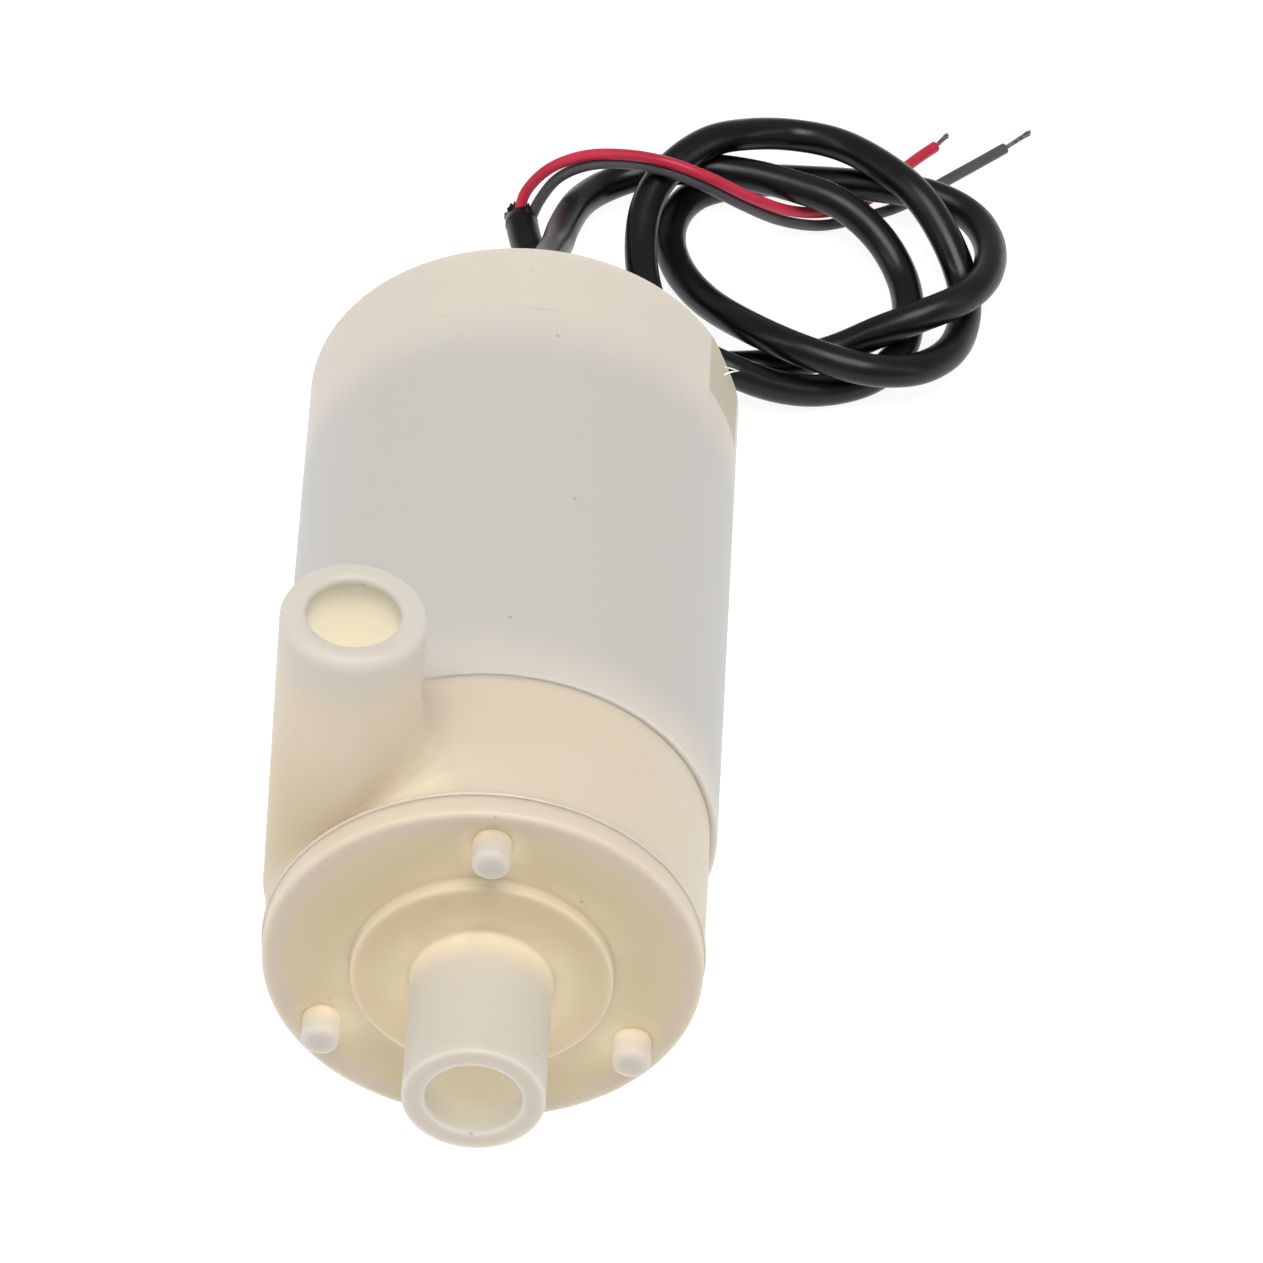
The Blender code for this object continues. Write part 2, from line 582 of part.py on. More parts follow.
def make_inner_lead(name, side, material):
    """From a terminal's tab to the plug that the cord is moulded in."""
    y_tab = BELL_REAR_Y + 1.2
    points = smooth_points(
        [
            (side * 4.3, y_tab, AXIS_Z), (side * 3.2, y_tab + 0.1, AXIS_Z),
            (side * 1.6, y_tab + 0.7, AXIS_Z), (side * 0.8, POTTING_FRONT_Y + 0.1, AXIS_Z),
        ],
        8,
    )
    make_tube(name, points, WIRE_R, material)


def make_tip(name, end, tip):
    """The tinned strands that stand out of a wire's cut insulation."""
    end, tip = Vector(end), Vector(tip)
    start = end + (tip - end).normalized() * 0.3
    make_tube(name, [start, start.lerp(tip, 0.5), tip], TIN_R, TIN)


make_inlet_cover()
make_pump_head()
make_impeller()
make_shaft_seal()
make_motor_housing()
make_motor_can()
make_bushing("front_bushing", CAN_FRONT_Y - CAN_BOSS_LONG + 0.1)
make_bushing("rear_bushing", BELL_FRONT_Y + 0.1)
make_magnet("magnet_left", math.pi)
make_magnet("magnet_right", 0.0)
make_end_bell()
make_brush("brush_left", -1)
make_brush("brush_right", 1)
make_terminal("terminal_left", -1)
make_terminal("terminal_right", 1)
make_potting()
make_shaft()
make_armature_core()
for pole_number in range(3):
    make_coil(f"winding_{pole_number + 1}", pole_number)
make_commutator()
make_washer("front_washer", CAN_FRONT_Y + 1.3)
make_washer("rear_washer", COMMUTATOR_YS[1] + 0.1)
make_cable_seal()
make_inner_lead("inner_lead_red", -1, RED)
make_inner_lead("inner_lead_grey", 1, GREY)
make_tube("cord_jacket", smooth_points(CORD_ROUTE, 80), CORD_R, JACKET)
make_tube("red_wire", smooth_points(RED_ROUTE, 30), WIRE_R, RED)
make_tube("grey_wire", smooth_points(GREY_ROUTE, 32), WIRE_R, GREY)
make_tip("red_wire_tip", RED_ROUTE[-1], RED_TIP)
make_tip("grey_wire_tip", GREY_ROUTE[-1], GREY_TIP)
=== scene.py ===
"""A small fountain submersible pump on its side on a white table, with its cord beside it.

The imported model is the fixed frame, and the pieces below stand for its visible nodes.
Pieces are drawn in millimetres and scaled to metres once, as each is finished.
"""

import math
import random

import bmesh
import bpy
import numpy as np
from mathutils import Matrix, Vector
from mathutils.bvhtree import BVHTree


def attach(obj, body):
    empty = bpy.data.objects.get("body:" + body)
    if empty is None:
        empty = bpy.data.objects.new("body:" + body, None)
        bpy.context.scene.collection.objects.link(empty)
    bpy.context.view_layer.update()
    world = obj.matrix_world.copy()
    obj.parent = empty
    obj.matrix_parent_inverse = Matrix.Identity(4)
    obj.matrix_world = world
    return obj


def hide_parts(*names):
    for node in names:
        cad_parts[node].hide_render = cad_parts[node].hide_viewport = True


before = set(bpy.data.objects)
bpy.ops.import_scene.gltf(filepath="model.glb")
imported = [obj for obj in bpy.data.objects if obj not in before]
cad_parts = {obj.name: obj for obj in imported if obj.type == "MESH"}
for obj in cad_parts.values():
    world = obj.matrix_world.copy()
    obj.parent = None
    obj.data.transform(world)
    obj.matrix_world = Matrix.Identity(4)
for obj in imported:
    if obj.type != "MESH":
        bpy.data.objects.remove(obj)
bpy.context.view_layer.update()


# ---- The motor's can, magnets and armature --------------------------------------------
# A brushed motor: a drawn steel can, ferrite arcs, and a stamped core wound with
# enamelled wire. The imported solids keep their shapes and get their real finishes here.

AXIS_Z = 12.0
MM = 0.001


def linear(hex_colour):
    """An sRGB hex colour as linear RGBA."""
    channels = [int(hex_colour[at : at + 2], 16) / 255 for at in (1, 3, 5)]
    return (*[c / 12.92 if c <= 0.04045 else ((c + 0.055) / 1.055) ** 2.4 for c in channels], 1.0)


def add(material, kind, inputs, **settings):
    """Adds a shader node with its settings, and sets or links each of its inputs."""
    node = material.node_tree.nodes.new(f"ShaderNode{kind}")
    for name, value in settings.items():
        setattr(node, name, value)
    for name, value in inputs.items():
        if isinstance(value, bpy.types.NodeSocket):
            material.node_tree.links.new(value, node.inputs[name])
        else:
            node.inputs[name].default_value = value
    return node


def new_material(name, inputs):
    """A material whose Principled shader starts from these values, and that shader."""
    material = bpy.data.materials.new(name)
    material.use_nodes = True
    shader = material.node_tree.nodes["Principled BSDF"]
    for socket, value in inputs.items():
        shader.inputs[socket].default_value = value
    return material, shader


def blend_colours(material, share, first, second):
    """A colour that goes from the first to the second with the share."""
    mixed = add(material, "Mix", {0: share, 6: first, 7: second}, data_type="RGBA")
    return mixed.outputs[2]


def to_range(material, value, low, high, to_low=0.0, to_high=1.0, smooth=True):
    """The value's place between low and high, as a number from to_low to to_high."""
    placed = add(
        material,
        "MapRange",
        {"Value": value, 1: low, 2: high, 3: to_low, 4: to_high},
        interpolation_type="SMOOTHSTEP" if smooth else "LINEAR",
    )
    return placed.outputs[0]


def grained(name, light, dark, grain_mm, roughness, metallic=0.0, bump_mm=0.01, stretch=1.0):
    """A finish with a grain of this real size, drawn out along the motor's axis by stretch."""
    material, shader = new_material(name, {"Metallic": metallic})
    place = add(material, "TexCoord", {}).outputs["Object"]
    drawn = add(material, "Mapping", {"Vector": place, "Scale": (1, 1 / stretch, 1)}).outputs[0]
    grain = add(
        material, "TexNoise", {"Vector": drawn, "Scale": 0.5 / (grain_mm * MM), "Detail": 3.0}
    ).outputs[0]
    share = to_range(material, grain, 0.35, 0.65)
    colour = blend_colours(material, share, linear(dark), linear(light))
    material.node_tree.links.new(colour, shader.inputs["Base Color"])
    rough = to_range(material, grain, 0.3, 0.7, roughness + 0.06, roughness - 0.06)
    material.node_tree.links.new(rough, shader.inputs["Roughness"])
    bump = add(material, "Bump", {"Height": grain, "Strength": 0.6, "Distance": bump_mm * MM})
    material.node_tree.links.new(bump.outputs[0], shader.inputs["Normal"])
    return material


def banded(name, light, dark, pitch_mm, roughness, metallic, **wave):
    """A finish of even ridges, as wound wire or stacked sheets, at their real pitch."""
    material, shader = new_material(name, {"Metallic": metallic, "Roughness": roughness})
    place = add(material, "TexCoord", {}).outputs["Object"]
    centred = add(material, "Mapping", {"Vector": place, "Location": (0, 0, -AXIS_Z * MM)})
    # A wave of scale 1 repeats every pi / 10
    ridges = add(
        material,
        "TexWave",
        {"Vector": centred.outputs[0], "Scale": math.pi / 10 / (pitch_mm * MM), "Distortion": 0.3},
        **wave,
    ).outputs[1]
    colour = blend_colours(material, ridges, linear(dark), linear(light))
    material.node_tree.links.new(colour, shader.inputs["Base Color"])
    bump = add(
        material, "Bump", {"Height": ridges, "Strength": 0.8, "Distance": pitch_mm * MM / 3}
    )
    material.node_tree.links.new(bump.outputs[0], shader.inputs["Normal"])
    return material


def finish_nodes(material, *names):
    for name in names:
        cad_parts[name].material_slots[0].material = material


# Drawn and zinc-plated steel: a bright grey with faint marks along the draw
finish_nodes(
    grained("zinc_plated_steel", "#b4b6b8", "#8e9194", 0.3, 0.32, 1.0, 0.004, stretch=12.0),
    "motor_can",
)
# Ground steel: even and shiny
finish_nodes(grained("ground_steel", "#c6c7c9", "#a9abad", 0.15, 0.2, 1.0, 0.002), "shaft")
# Sintered ferrite: matt charcoal with a fine grain
finish_nodes(grained("ferrite", "#3a3a3d", "#242427", 0.2, 0.7), "magnet_left", "magnet_right")
# Silicon steel sheets, 0.5 mm thick, stacked along the shaft
finish_nodes(
    banded(
        "silicon_steel_sheets", "#8b8d90", "#4d4f52", 0.5, 0.42, 1.0,
        wave_type="BANDS", bands_direction="Y",
    ),
    "armature_core",
)
# Enamelled copper wire, 0.28 mm over its enamel, wound in level layers
finish_nodes(
    banded(
        "enamelled_copper_wire", "#b8623a", "#5a2413", 0.28, 0.28, 1.0,
        wave_type="RINGS", rings_direction="Y",
    ),
    "winding_1", "winding_2", "winding_3",
)


# ---- The motor's end: commutator, brushes, bearings and leads --------------------------
# Copper segments and sprung copper leaves, oil-filled bronze bushings, a moulded end
# bell with folded tabs, and two leads that run to the cord through the potting.

# Rolled copper: warm and satin, with a slight drag from the rolls
finish_nodes(
    grained("rolled_copper", "#c98a63", "#a4603c", 0.25, 0.3, 1.0, 0.003, stretch=6.0),
    "commutator", "brush_left", "brush_right", "terminal_left", "terminal_right",
)
# Sintered bronze: brownish, with open pores that hold its oil
finish_nodes(
    grained("sintered_bronze", "#a98758", "#6f5330", 0.12, 0.45, 1.0, 0.015),
    "front_bushing", "rear_bushing",
)
# Moulded white acetal: smooth and a little waxy
finish_nodes(
    grained("moulded_acetal", "#e9e7e0", "#dedbd2", 0.8, 0.38, 0.0, 0.004),
    "end_bell", "front_washer", "rear_washer", "impeller",
)
# Cured epoxy, cloudy and faintly yellow
finish_nodes(grained("epoxy_potting", "#d8ccb4", "#c6b899", 1.5, 0.3, 0.0, 0.02), "potting_plug")
# Nitrile rubber: matt black
finish_nodes(grained("nitrile_rubber", "#1b1b1b", "#111111", 0.2, 0.62), "shaft_seal")


# ---- The motor housing -----------------------------------------------------------------
# A plain tube of natural nylon with a closed rear, injection moulded. Where the motor's can lies
# behind its wall, a cool grey band of painted shade is painted in, and a gate was pared off flat at
# its rear rim.

BODY = "pump_body"


def turned(profile, steps, closed=True):
    """A profile of (radius, y) points turned once round Y."""
    bm = bmesh.new()
    verts = [bm.verts.new((radius, y, 0)) for radius, y in profile]
    edges = [bm.edges.new(pair) for pair in zip(verts, verts[1:])]
    if closed:
        edges.append(bm.edges.new((verts[-1], verts[0])))
    bmesh.ops.spin(
        bm, geom=verts + edges, axis=(0, 1, 0), angle=math.tau, steps=steps, use_merge=True
    )
    bmesh.ops.remove_doubles(bm, verts=bm.verts, dist=1e-4)
    bmesh.ops.recalc_face_normals(bm, faces=bm.faces)
    return bm


def round_off(bm, radius, y, by, segments=4):
    """Rounds the turned corner at this radius and y."""
    corner = [
        edge
        for edge in bm.edges
        if all(
            abs(math.hypot(v.co.x, v.co.z) - radius) < 1e-3 and abs(v.co.y - y) < 1e-3
            for v in edge.verts
        )
    ]
    bmesh.ops.bevel(
        bm, geom=corner, offset=by, segments=segments, profile=0.5, affect="EDGES", material=-1
    )


def as_object(name, bm, place=(0, 0, 0)):
    """The bmesh as an object still in millimetres, moved by place."""
    bmesh.ops.translate(bm, vec=place, verts=bm.verts)
    mesh = bpy.data.meshes.new(name)
    bm.to_mesh(mesh)
    bm.free()
    obj = bpy.data.objects.new(name, mesh)
    bpy.context.scene.collection.objects.link(obj)
    return obj


def apply_modifiers(obj):
    graph = bpy.context.evaluated_depsgraph_get()
    made = bpy.data.meshes.new_from_object(obj.evaluated_get(graph))
    obj.modifiers.clear()
    obj.data = made


def combine(obj, bm, place, operation):
    """Joins another bmesh to the object or cuts it away, and drops it."""
    other = as_object("tool", bm, place)
    modifier = obj.modifiers.new("combine", "BOOLEAN")
    modifier.operation, modifier.solver, modifier.object = operation, "EXACT", other
    apply_modifiers(obj)
    bpy.data.objects.remove(other)


def finish_piece(obj, material, slot, *nodes, sharp=35):
    """Scales a drawn piece to metres, gives it its finish and puts it on the pump's body."""
    obj.data.transform(Matrix.Scale(MM, 4))
    obj.data.materials.clear()
    obj.data.materials.append(material)
    obj.data.shade_smooth()
    obj.data.set_sharp_from_angle(angle=math.radians(sharp))
    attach(obj, BODY)
    if nodes:
        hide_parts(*nodes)


def level_flats(obj):
    """Keeps flat faces flat in their shading beside rounded edges."""
    modifier = obj.modifiers.new("flat_faces", "WEIGHTED_NORMAL")
    modifier.keep_sharp = True


def multiply(material, first, second):
    return add(material, "Math", {0: first, 1: second}, operation="MULTIPLY").outputs[0]


def natural_nylon(name, specular=0.25):
    """Natural nylon as moulded: cloudy and waxy, so light goes a millimetre or so into it. It
    has the mould's fine texture, 0.25 mm, and shallow sink marks some 3 mm across."""
    material, shader = new_material(
        name,
        {
            "Roughness": 0.38,
            "IOR": 1.5,
            "Specular IOR Level": specular,
            "Subsurface Weight": 1.0,
            "Subsurface Radius": (1.0, 0.95, 0.88),
            "Subsurface Scale": 1.1 * MM,
        },
    )
    place = add(material, "TexCoord", {}).outputs["Object"]
    fine = add(
        material, "TexNoise", {"Vector": place, "Scale": 2.0 / MM, "Detail": 2.0}
    ).outputs[0]
    sink = add(
        material, "TexNoise", {"Vector": place, "Scale": 0.16 / MM, "Detail": 1.0}
    ).outputs[0]
    waves = add(material, "Bump", {"Height": sink, "Strength": 0.25, "Distance": 0.06 * MM})
    bump = add(
        material,
        "Bump",
        {"Height": fine, "Strength": 0.22, "Distance": 0.01 * MM, "Normal": waves.outputs[0]},
    )
    material.node_tree.links.new(bump.outputs[0], shader.inputs["Normal"])
    return material, shader, place


SPECK_SPACING, SPECK_SIZE = 1.6, 0.16


def with_specks(material, place, colour):
    """Dark specks of charred resin, one in a few of the cells of their spacing."""
    cells = add(
        material,
        "TexVoronoi",
        {"Vector": place, "Scale": 1 / (SPECK_SPACING * MM), "Randomness": 1.0},
    )
    near = to_range(
        material, cells.outputs["Distance"], 0.0, SPECK_SIZE / SPECK_SPACING, 1.0, 0.0
    )
    picked = add(material, "SeparateColor", {"Color": cells.outputs["Color"]}).outputs[0]
    share = multiply(material, near, to_range(material, picked, 0.8, 0.86))
    return blend_colours(material, multiply(material, share, 0.55), colour, linear("#6b5a48"))


HOUSING_R = 12.0
HOUSING_INNER_R = 10.7
SEAM_Y = -6.6
REAR_Y = 26.8
REAR_INNER_Y = 25.0
CORD_HOLE_R = 2.3

shell = turned(
    [
        (HOUSING_INNER_R, SEAM_Y), (HOUSING_R, SEAM_Y), (HOUSING_R, REAR_Y), (CORD_HOLE_R, REAR_Y),
        (CORD_HOLE_R, REAR_INNER_Y), (HOUSING_INNER_R, REAR_INNER_Y),
    ],
    256,
)
round_off(shell, HOUSING_R, REAR_Y, 0.35, 5)
round_off(shell, HOUSING_R, SEAM_Y, 0.07, 3)
round_off(shell, HOUSING_INNER_R, SEAM_Y, 0.1, 2)
round_off(shell, CORD_HOLE_R, REAR_Y, 0.2, 3)
housing = as_object("housing_shell", shell, (0, 0, AXIS_Z))

# The pared gate: a flat on the rear rim, a little above the right side
FLAT_ANGLE = math.radians(21.5)
FLAT_REACH = HOUSING_R - 0.22  # from the axis
FLAT_FRONT_Y = 22.2
paring = bmesh.new()
bmesh.ops.create_cube(paring, size=1.0)
bmesh.ops.scale(paring, vec=(2.0, 8.0, 5.0), verts=paring.verts)
bmesh.ops.translate(
    paring, vec=(FLAT_REACH + 1.0, FLAT_FRONT_Y + 4.0, 0), verts=paring.verts
)
bmesh.ops.rotate(paring, verts=paring.verts, matrix=Matrix.Rotation(-FLAT_ANGLE, 3, "Y"))
combine(housing, paring, (0, 0, AXIS_Z), "DIFFERENCE")

# The can's painted shade: the wall is painted a grey band between these fades, whose edges wander a
# little
CAN_SHADE_FRONT_FADE, CAN_SHADE_REAR_FADE = (-7.2, -2.6), (17.3, 22.4)
CAN_SHADE_WANDER = 0.4
CAN_LINE_Y = 21.8

material, shader, place = natural_nylon("natural_nylon_housing", specular=0.1)
along = add(material, "SeparateXYZ", {"Vector": place}).outputs["Y"]
wander = add(
    material, "TexNoise", {"Vector": place, "Scale": 0.35 / MM, "Detail": 3.0}
).outputs[0]
wander = to_range(
    material, wander, 0.2, 0.8, -CAN_SHADE_WANDER * MM, CAN_SHADE_WANDER * MM, smooth=False
)
wandering = add(material, "Math", {0: along, 1: wander}, operation="ADD").outputs[0]
# The painted shade's front edge fades towards the seam, and its rear edge is a soft step
can_shade_front = to_range(material, wandering, *(y * MM for y in CAN_SHADE_FRONT_FADE))
can_shade_rear = to_range(material, wandering, *(y * MM for y in CAN_SHADE_REAR_FADE), 1.0, 0.0)
can = multiply(material, can_shade_front, can_shade_rear)
# Painted shade: the wall's colour is greyed where the can lies behind it
colour = blend_colours(material, can, linear("#d6cdc1"), linear("#c4c1bb"))
colour = with_specks(material, place, colour)
# Where the can ends, a faint broken line shows round the wall
patches = add(
    material, "TexNoise", {"Vector": place, "Scale": 0.16 / MM, "Detail": 3.0}
).outputs[0]
broken = to_range(material, patches, 0.48, 0.62, 0.0, 0.45)
before = to_range(material, along, (CAN_LINE_Y - 0.12) * MM, CAN_LINE_Y * MM)
after = to_range(material, along, CAN_LINE_Y * MM, (CAN_LINE_Y + 0.15) * MM, 1.0, 0.0)
line = multiply(material, multiply(material, before, after), broken)
colour = blend_colours(material, line, colour, linear("#a39b8c"))
# The pared flat is painted darker than the moulded skin: painted shade for a face turned away from
# the light
centred = add(
    material, "Mapping", {"Vector": place, "Location": (0, 0, -AXIS_Z * MM)}
).outputs[0]
out = (math.cos(FLAT_ANGLE), 0, math.sin(FLAT_ANGLE))
reach = add(
    material, "VectorMath", {0: centred, 1: out}, operation="DOT_PRODUCT"
).outputs["Value"]
on_flat = to_range(material, reach, (FLAT_REACH - 0.02) * MM, (FLAT_REACH - 0.01) * MM)
off_round = to_range(
    material, reach, (FLAT_REACH + 0.01) * MM, (FLAT_REACH + 0.02) * MM, 1.0, 0.0
)
behind = to_range(material, along, (FLAT_FRONT_Y - 0.05) * MM, FLAT_FRONT_Y * MM)
flat = multiply(material, multiply(material, on_flat, off_round), behind)
colour = blend_colours(material, flat, colour, linear("#c0b8a3"))
material.node_tree.links.new(colour, shader.inputs["Base Color"])
finish_piece(housing, material, "natural_nylon", "motor_housing")
level_flats(housing)

# Two slivers of flash that the blade left standing at the end of the flat, each with its
# place along the flat and how far its tip bends outwards and along
SLIVER_LONG = 0.8
nylon_flash = grained("nylon_flash", "#fbf8f2", "#f0ebe0", 0.3, 0.3)
random.seed(3)
for number, start, bend_out, bend_along in ((1, 26.3, 0.315, -0.3), (2, 25.7, 0.175, 0.2)):
    strip = bmesh.new()
    bmesh.ops.create_cone(
        strip, segments=8, radius1=0.07, radius2=0.025, depth=SLIVER_LONG, cap_ends=True
    )
    lengthways = [e for e in strip.edges if abs(e.verts[0].co.z - e.verts[1].co.z) > 0.5]
    bmesh.ops.subdivide_edges(strip, edges=lengthways, cuts=8)
    for vert in strip.verts:
        share = vert.co.z / SLIVER_LONG + 0.5
        vert.co.x += bend_out * share**2
        vert.co.y += bend_along * share + random.uniform(-0.012, 0.012)
    bmesh.ops.rotate(
        strip, verts=strip.verts, matrix=Matrix.Rotation(math.radians(62), 3, "Y")
    )
    root = HOUSING_R * Vector(out) + Vector((0.1, start, AXIS_Z + 0.1))
    sliver = as_object(f"flash_sliver_{number}", strip, root)
    finish_piece(sliver, nylon_flash, "natural_nylon")


# ---- The pump head ---------------------------------------------------------------------
# The chamber's shell with its outlet tube, moulded in one. The tube grows out of the
# shell's side through a soft fillet, and its mouth has a rounded lip.

HEAD_R = 11.8
HEAD_X, HEAD_Z = -0.2, 12.1
HEAD_FRONT_Y, HEAD_BACK_Y = -15.52, -6.62
CHAMBER_R, CHAMBER_BACK_Y = 8.6, -9.9
SEAL_BORE_R, RECESS_R, RECESS_Y = 3.0, 3.4, -7.3
SPIGOT_R, SPIGOT_LONG = 10.4, 1.4
OUTLET_R, OUTLET_BORE_R = 3.88, 2.48
OUTLET_X, OUTLET_Y, OUTLET_TOP_Z = -8.39, -11.4, 32.6
BORE_FOOT_Z = 11.6
LIP_R, BORE_LIP_R = 0.65, 0.3
FILLET = 3.4  # width over which the tube and the shell melt into each other
FILLET_FADE = 2.6  # the fillet runs out this far behind the faced-off front end
VOXEL = 0.23
SETTLE_STEPS, LONGEST_STEP = 24, 0.15
SLOPE_STEP = 1e-3
WALL_REACH, OPEN_REACH = 5.0, 12.0
RAYS, SMOOTHINGS = 14, 3

NYLON_PALE = "#cdc7be"  # where light comes through a thin wall or an edge
NYLON_CORNER = "#f0e3c8"  # in a corner, where light has gone through most plastic
NYLON_BORE = "#f2eddc"  # inside a bore, lit through the walls around it


def rounded_corner(first, second, radius):
    """Where two surfaces' distances meet in a rounded edge."""
    over = np.hypot(np.maximum(first + radius, 0), np.maximum(second + radius, 0))
    return np.minimum(-radius, np.maximum(first, second)) + over


def head_surface(points):
    """Each point's signed distance, near enough, from the head's skin."""
    x, y, z = points.T
    across, up = x - HEAD_X, z - HEAD_Z
    shell_far = np.hypot(across, up)
    shell_d = shell_far - HEAD_R
    below = np.minimum(z - HEAD_Z, 0)
    tube_x, tube_y = x - OUTLET_X, y - OUTLET_Y
    tube_far = np.sqrt(tube_x**2 + tube_y**2 + below**2)
    tube_d = tube_far - OUTLET_R
    # The two melt together only where they meet at an angle
    facing = (across * tube_x + up * below) / np.maximum(shell_far * tube_far, 1e-6)
    fading = np.clip((y - HEAD_FRONT_Y) / FILLET_FADE, 0, 1)
    melt = FILLET * np.clip(1 - facing, 0, 1) * fading + 1e-3
    near = np.maximum(melt - np.abs(shell_d - tube_d), 0) / melt
    skin = np.minimum(shell_d, tube_d) - near**2 * melt / 4
    skin = rounded_corner(skin, z - OUTLET_TOP_Z, LIP_R)
    bore = np.maximum(np.hypot(tube_x, tube_y) - OUTLET_BORE_R, BORE_FOOT_Z - z)
    skin = rounded_corner(skin, -bore, BORE_LIP_R)
    axis_far = np.hypot(x, z - AXIS_Z)
    chamber = np.maximum(axis_far - CHAMBER_R, y - CHAMBER_BACK_Y)
    seal_bore = np.maximum(axis_far - SEAL_BORE_R, y - RECESS_Y)
    recess = np.maximum(axis_far - RECESS_R, RECESS_Y - y)
    return np.maximum(skin, -np.minimum(np.minimum(chamber, seal_bore), recess))


def settle_on_head(mesh):
    """Moves the mesh's points onto the head's skin."""
    points = np.empty(len(mesh.vertices) * 3)
    mesh.vertices.foreach_get("co", points)
    points = points.reshape(-1, 3)
    for _ in range(SETTLE_STEPS):
        depth = head_surface(points)
        slope = np.stack(
            [
                head_surface(points + step) - head_surface(points - step)
                for step in np.eye(3) * SLOPE_STEP
            ],
            axis=1,
        ) / (2 * SLOPE_STEP)
        steep = np.sqrt(np.maximum((slope**2).sum(axis=1), 0.02))
        move = np.clip(depth / steep, -LONGEST_STEP, LONGEST_STEP)
        points -= (slope / steep[:, None]) * move[:, None]
    mesh.vertices.foreach_set("co", points.ravel())
    mesh.update()


def measure_walls(obj, bore_axis):
    """Stores at each point how deep the plastic is behind it, from 0 to 1 at the wall reach,
    and how much of what it faces is shut in within the open reach. The rays turn evenly
    round the bore's axis, and both are then evened out with the points beside."""
    mesh = obj.data
    count = len(mesh.vertices)
    points, normals = np.empty(count * 3), np.empty(count * 3)
    mesh.vertices.foreach_get("co", points)
    mesh.vertices.foreach_get("normal", normals)
    points, normals = points.reshape(-1, 3), normals.reshape(-1, 3)
    axis, other = np.roll(np.eye(3), -bore_axis, axis=0)[:2]
    side = np.where(np.abs(normals @ axis)[:, None] < 0.9, axis, other)
    first = np.cross(normals, side)
    first /= np.linalg.norm(first, axis=1, keepdims=True) + 1e-9
    second = np.cross(normals, first)
    tree = BVHTree.FromPolygons(points.tolist(), [list(p.vertices) for p in mesh.polygons])
    inner, outer = (points - normals * 0.01).tolist(), (points + normals * 0.01).tolist()
    depth, shut = np.zeros(count), np.zeros(count)
    for ray in range(RAYS):
        lean, turn = math.sqrt((ray + 0.5) / RAYS), ray * math.pi * (3 - math.sqrt(5))
        into = math.sqrt(1 - lean**2)
        aside = first * lean * math.cos(turn) + second * lean * math.sin(turn)
        inwards = (aside - normals * into).tolist()
        outwards = (aside + normals * into).tolist()
        for number in range(count):
            far = tree.ray_cast(inner[number], inwards[number], WALL_REACH)[3]
            depth[number] += 1 if far is None else far / WALL_REACH
            far = tree.ray_cast(outer[number], outwards[number], OPEN_REACH)[3]
            shut[number] += 0 if far is None else 1 - far / OPEN_REACH
    ends = np.empty(len(mesh.edges) * 2, np.int64)
    mesh.edges.foreach_get("vertices", ends)
    ends = ends.reshape(-1, 2)
    for name, value in (("wall", depth / RAYS), ("hollow", shut / RAYS)):
        for _ in range(SMOOTHINGS):
            beside, number = value.copy(), np.ones(count)
            for here, there in (ends.T, ends.T[::-1]):
                np.add.at(beside, here, value[there])
                np.add.at(number, here, 1)
            value = beside / number
        attribute = mesh.attributes.new(name, "FLOAT", "POINT")
        attribute.data.foreach_set("value", value.astype(np.float32))


def thick_and_thin(material, shader, place, tan, axis, tip_from, tip_to, glow):
    """Nylon's colour in a piece with a bore. It is tan where the wall is thick, and pales
    towards the tube's tip, between these places on the axis. The bore's inside glows."""
    wall = add(material, "Attribute", {}, attribute_name="wall").outputs["Fac"]
    depth = to_range(material, wall, 0.22, 0.55)
    colour = blend_colours(material, depth, linear(NYLON_PALE), linear(tan))
    # Cloudiness from the melt's flow, some 5 mm across
    cloud = add(
        material, "TexNoise", {"Vector": place, "Scale": 0.2 / MM, "Detail": 2.0}
    ).outputs[0]
    cloud = to_range(material, cloud, 0.3, 0.7, 0.0, 0.1)
    colour = blend_colours(material, cloud, colour, linear("#d6c28e"))
    hollow = add(material, "Attribute", {}, attribute_name="hollow").outputs["Fac"]
    corner = to_range(material, hollow, 0.05, 0.4, 0.0, 0.8)
    colour = blend_colours(material, corner, colour, linear(NYLON_CORNER))
    along = add(material, "SeparateXYZ", {"Vector": place}).outputs[axis]
    tip = to_range(material, along, tip_from * MM, tip_to * MM, 0.0, 0.85)
    colour = blend_colours(material, tip, colour, linear(NYLON_PALE))
    bore = to_range(material, hollow, 0.3, 0.6)
    through = blend_colours(material, bore, (0, 0, 0, 1), linear("#969590"))
    material.node_tree.links.new(through, shader.inputs["Emission Color"])
    shader.inputs["Emission Strength"].default_value = glow
    return blend_colours(material, bore, colour, linear(NYLON_BORE))


head = as_object(
    "pump_head_shell",
    turned(
        [
            (0, HEAD_FRONT_Y - 1.5), (HEAD_R, HEAD_FRONT_Y - 1.5),
            (HEAD_R, HEAD_BACK_Y + 1.5), (0, HEAD_BACK_Y + 1.5),
        ],
        96,
        closed=False,
    ),
    (HEAD_X, 0, HEAD_Z),
)
stand = Matrix.Rotation(math.pi / 2, 3, "X")
tube = turned(
    [(0, 0), (OUTLET_R, 0), (OUTLET_R, OUTLET_TOP_Z - HEAD_Z), (0, OUTLET_TOP_Z - HEAD_Z)],
    64,
    closed=False,
)
bmesh.ops.rotate(tube, verts=tube.verts, matrix=stand)
combine(head, tube, (OUTLET_X, OUTLET_Y, HEAD_Z), "UNION")
foot = bmesh.new()
bmesh.ops.create_uvsphere(foot, u_segments=48, v_segments=24, radius=OUTLET_R)
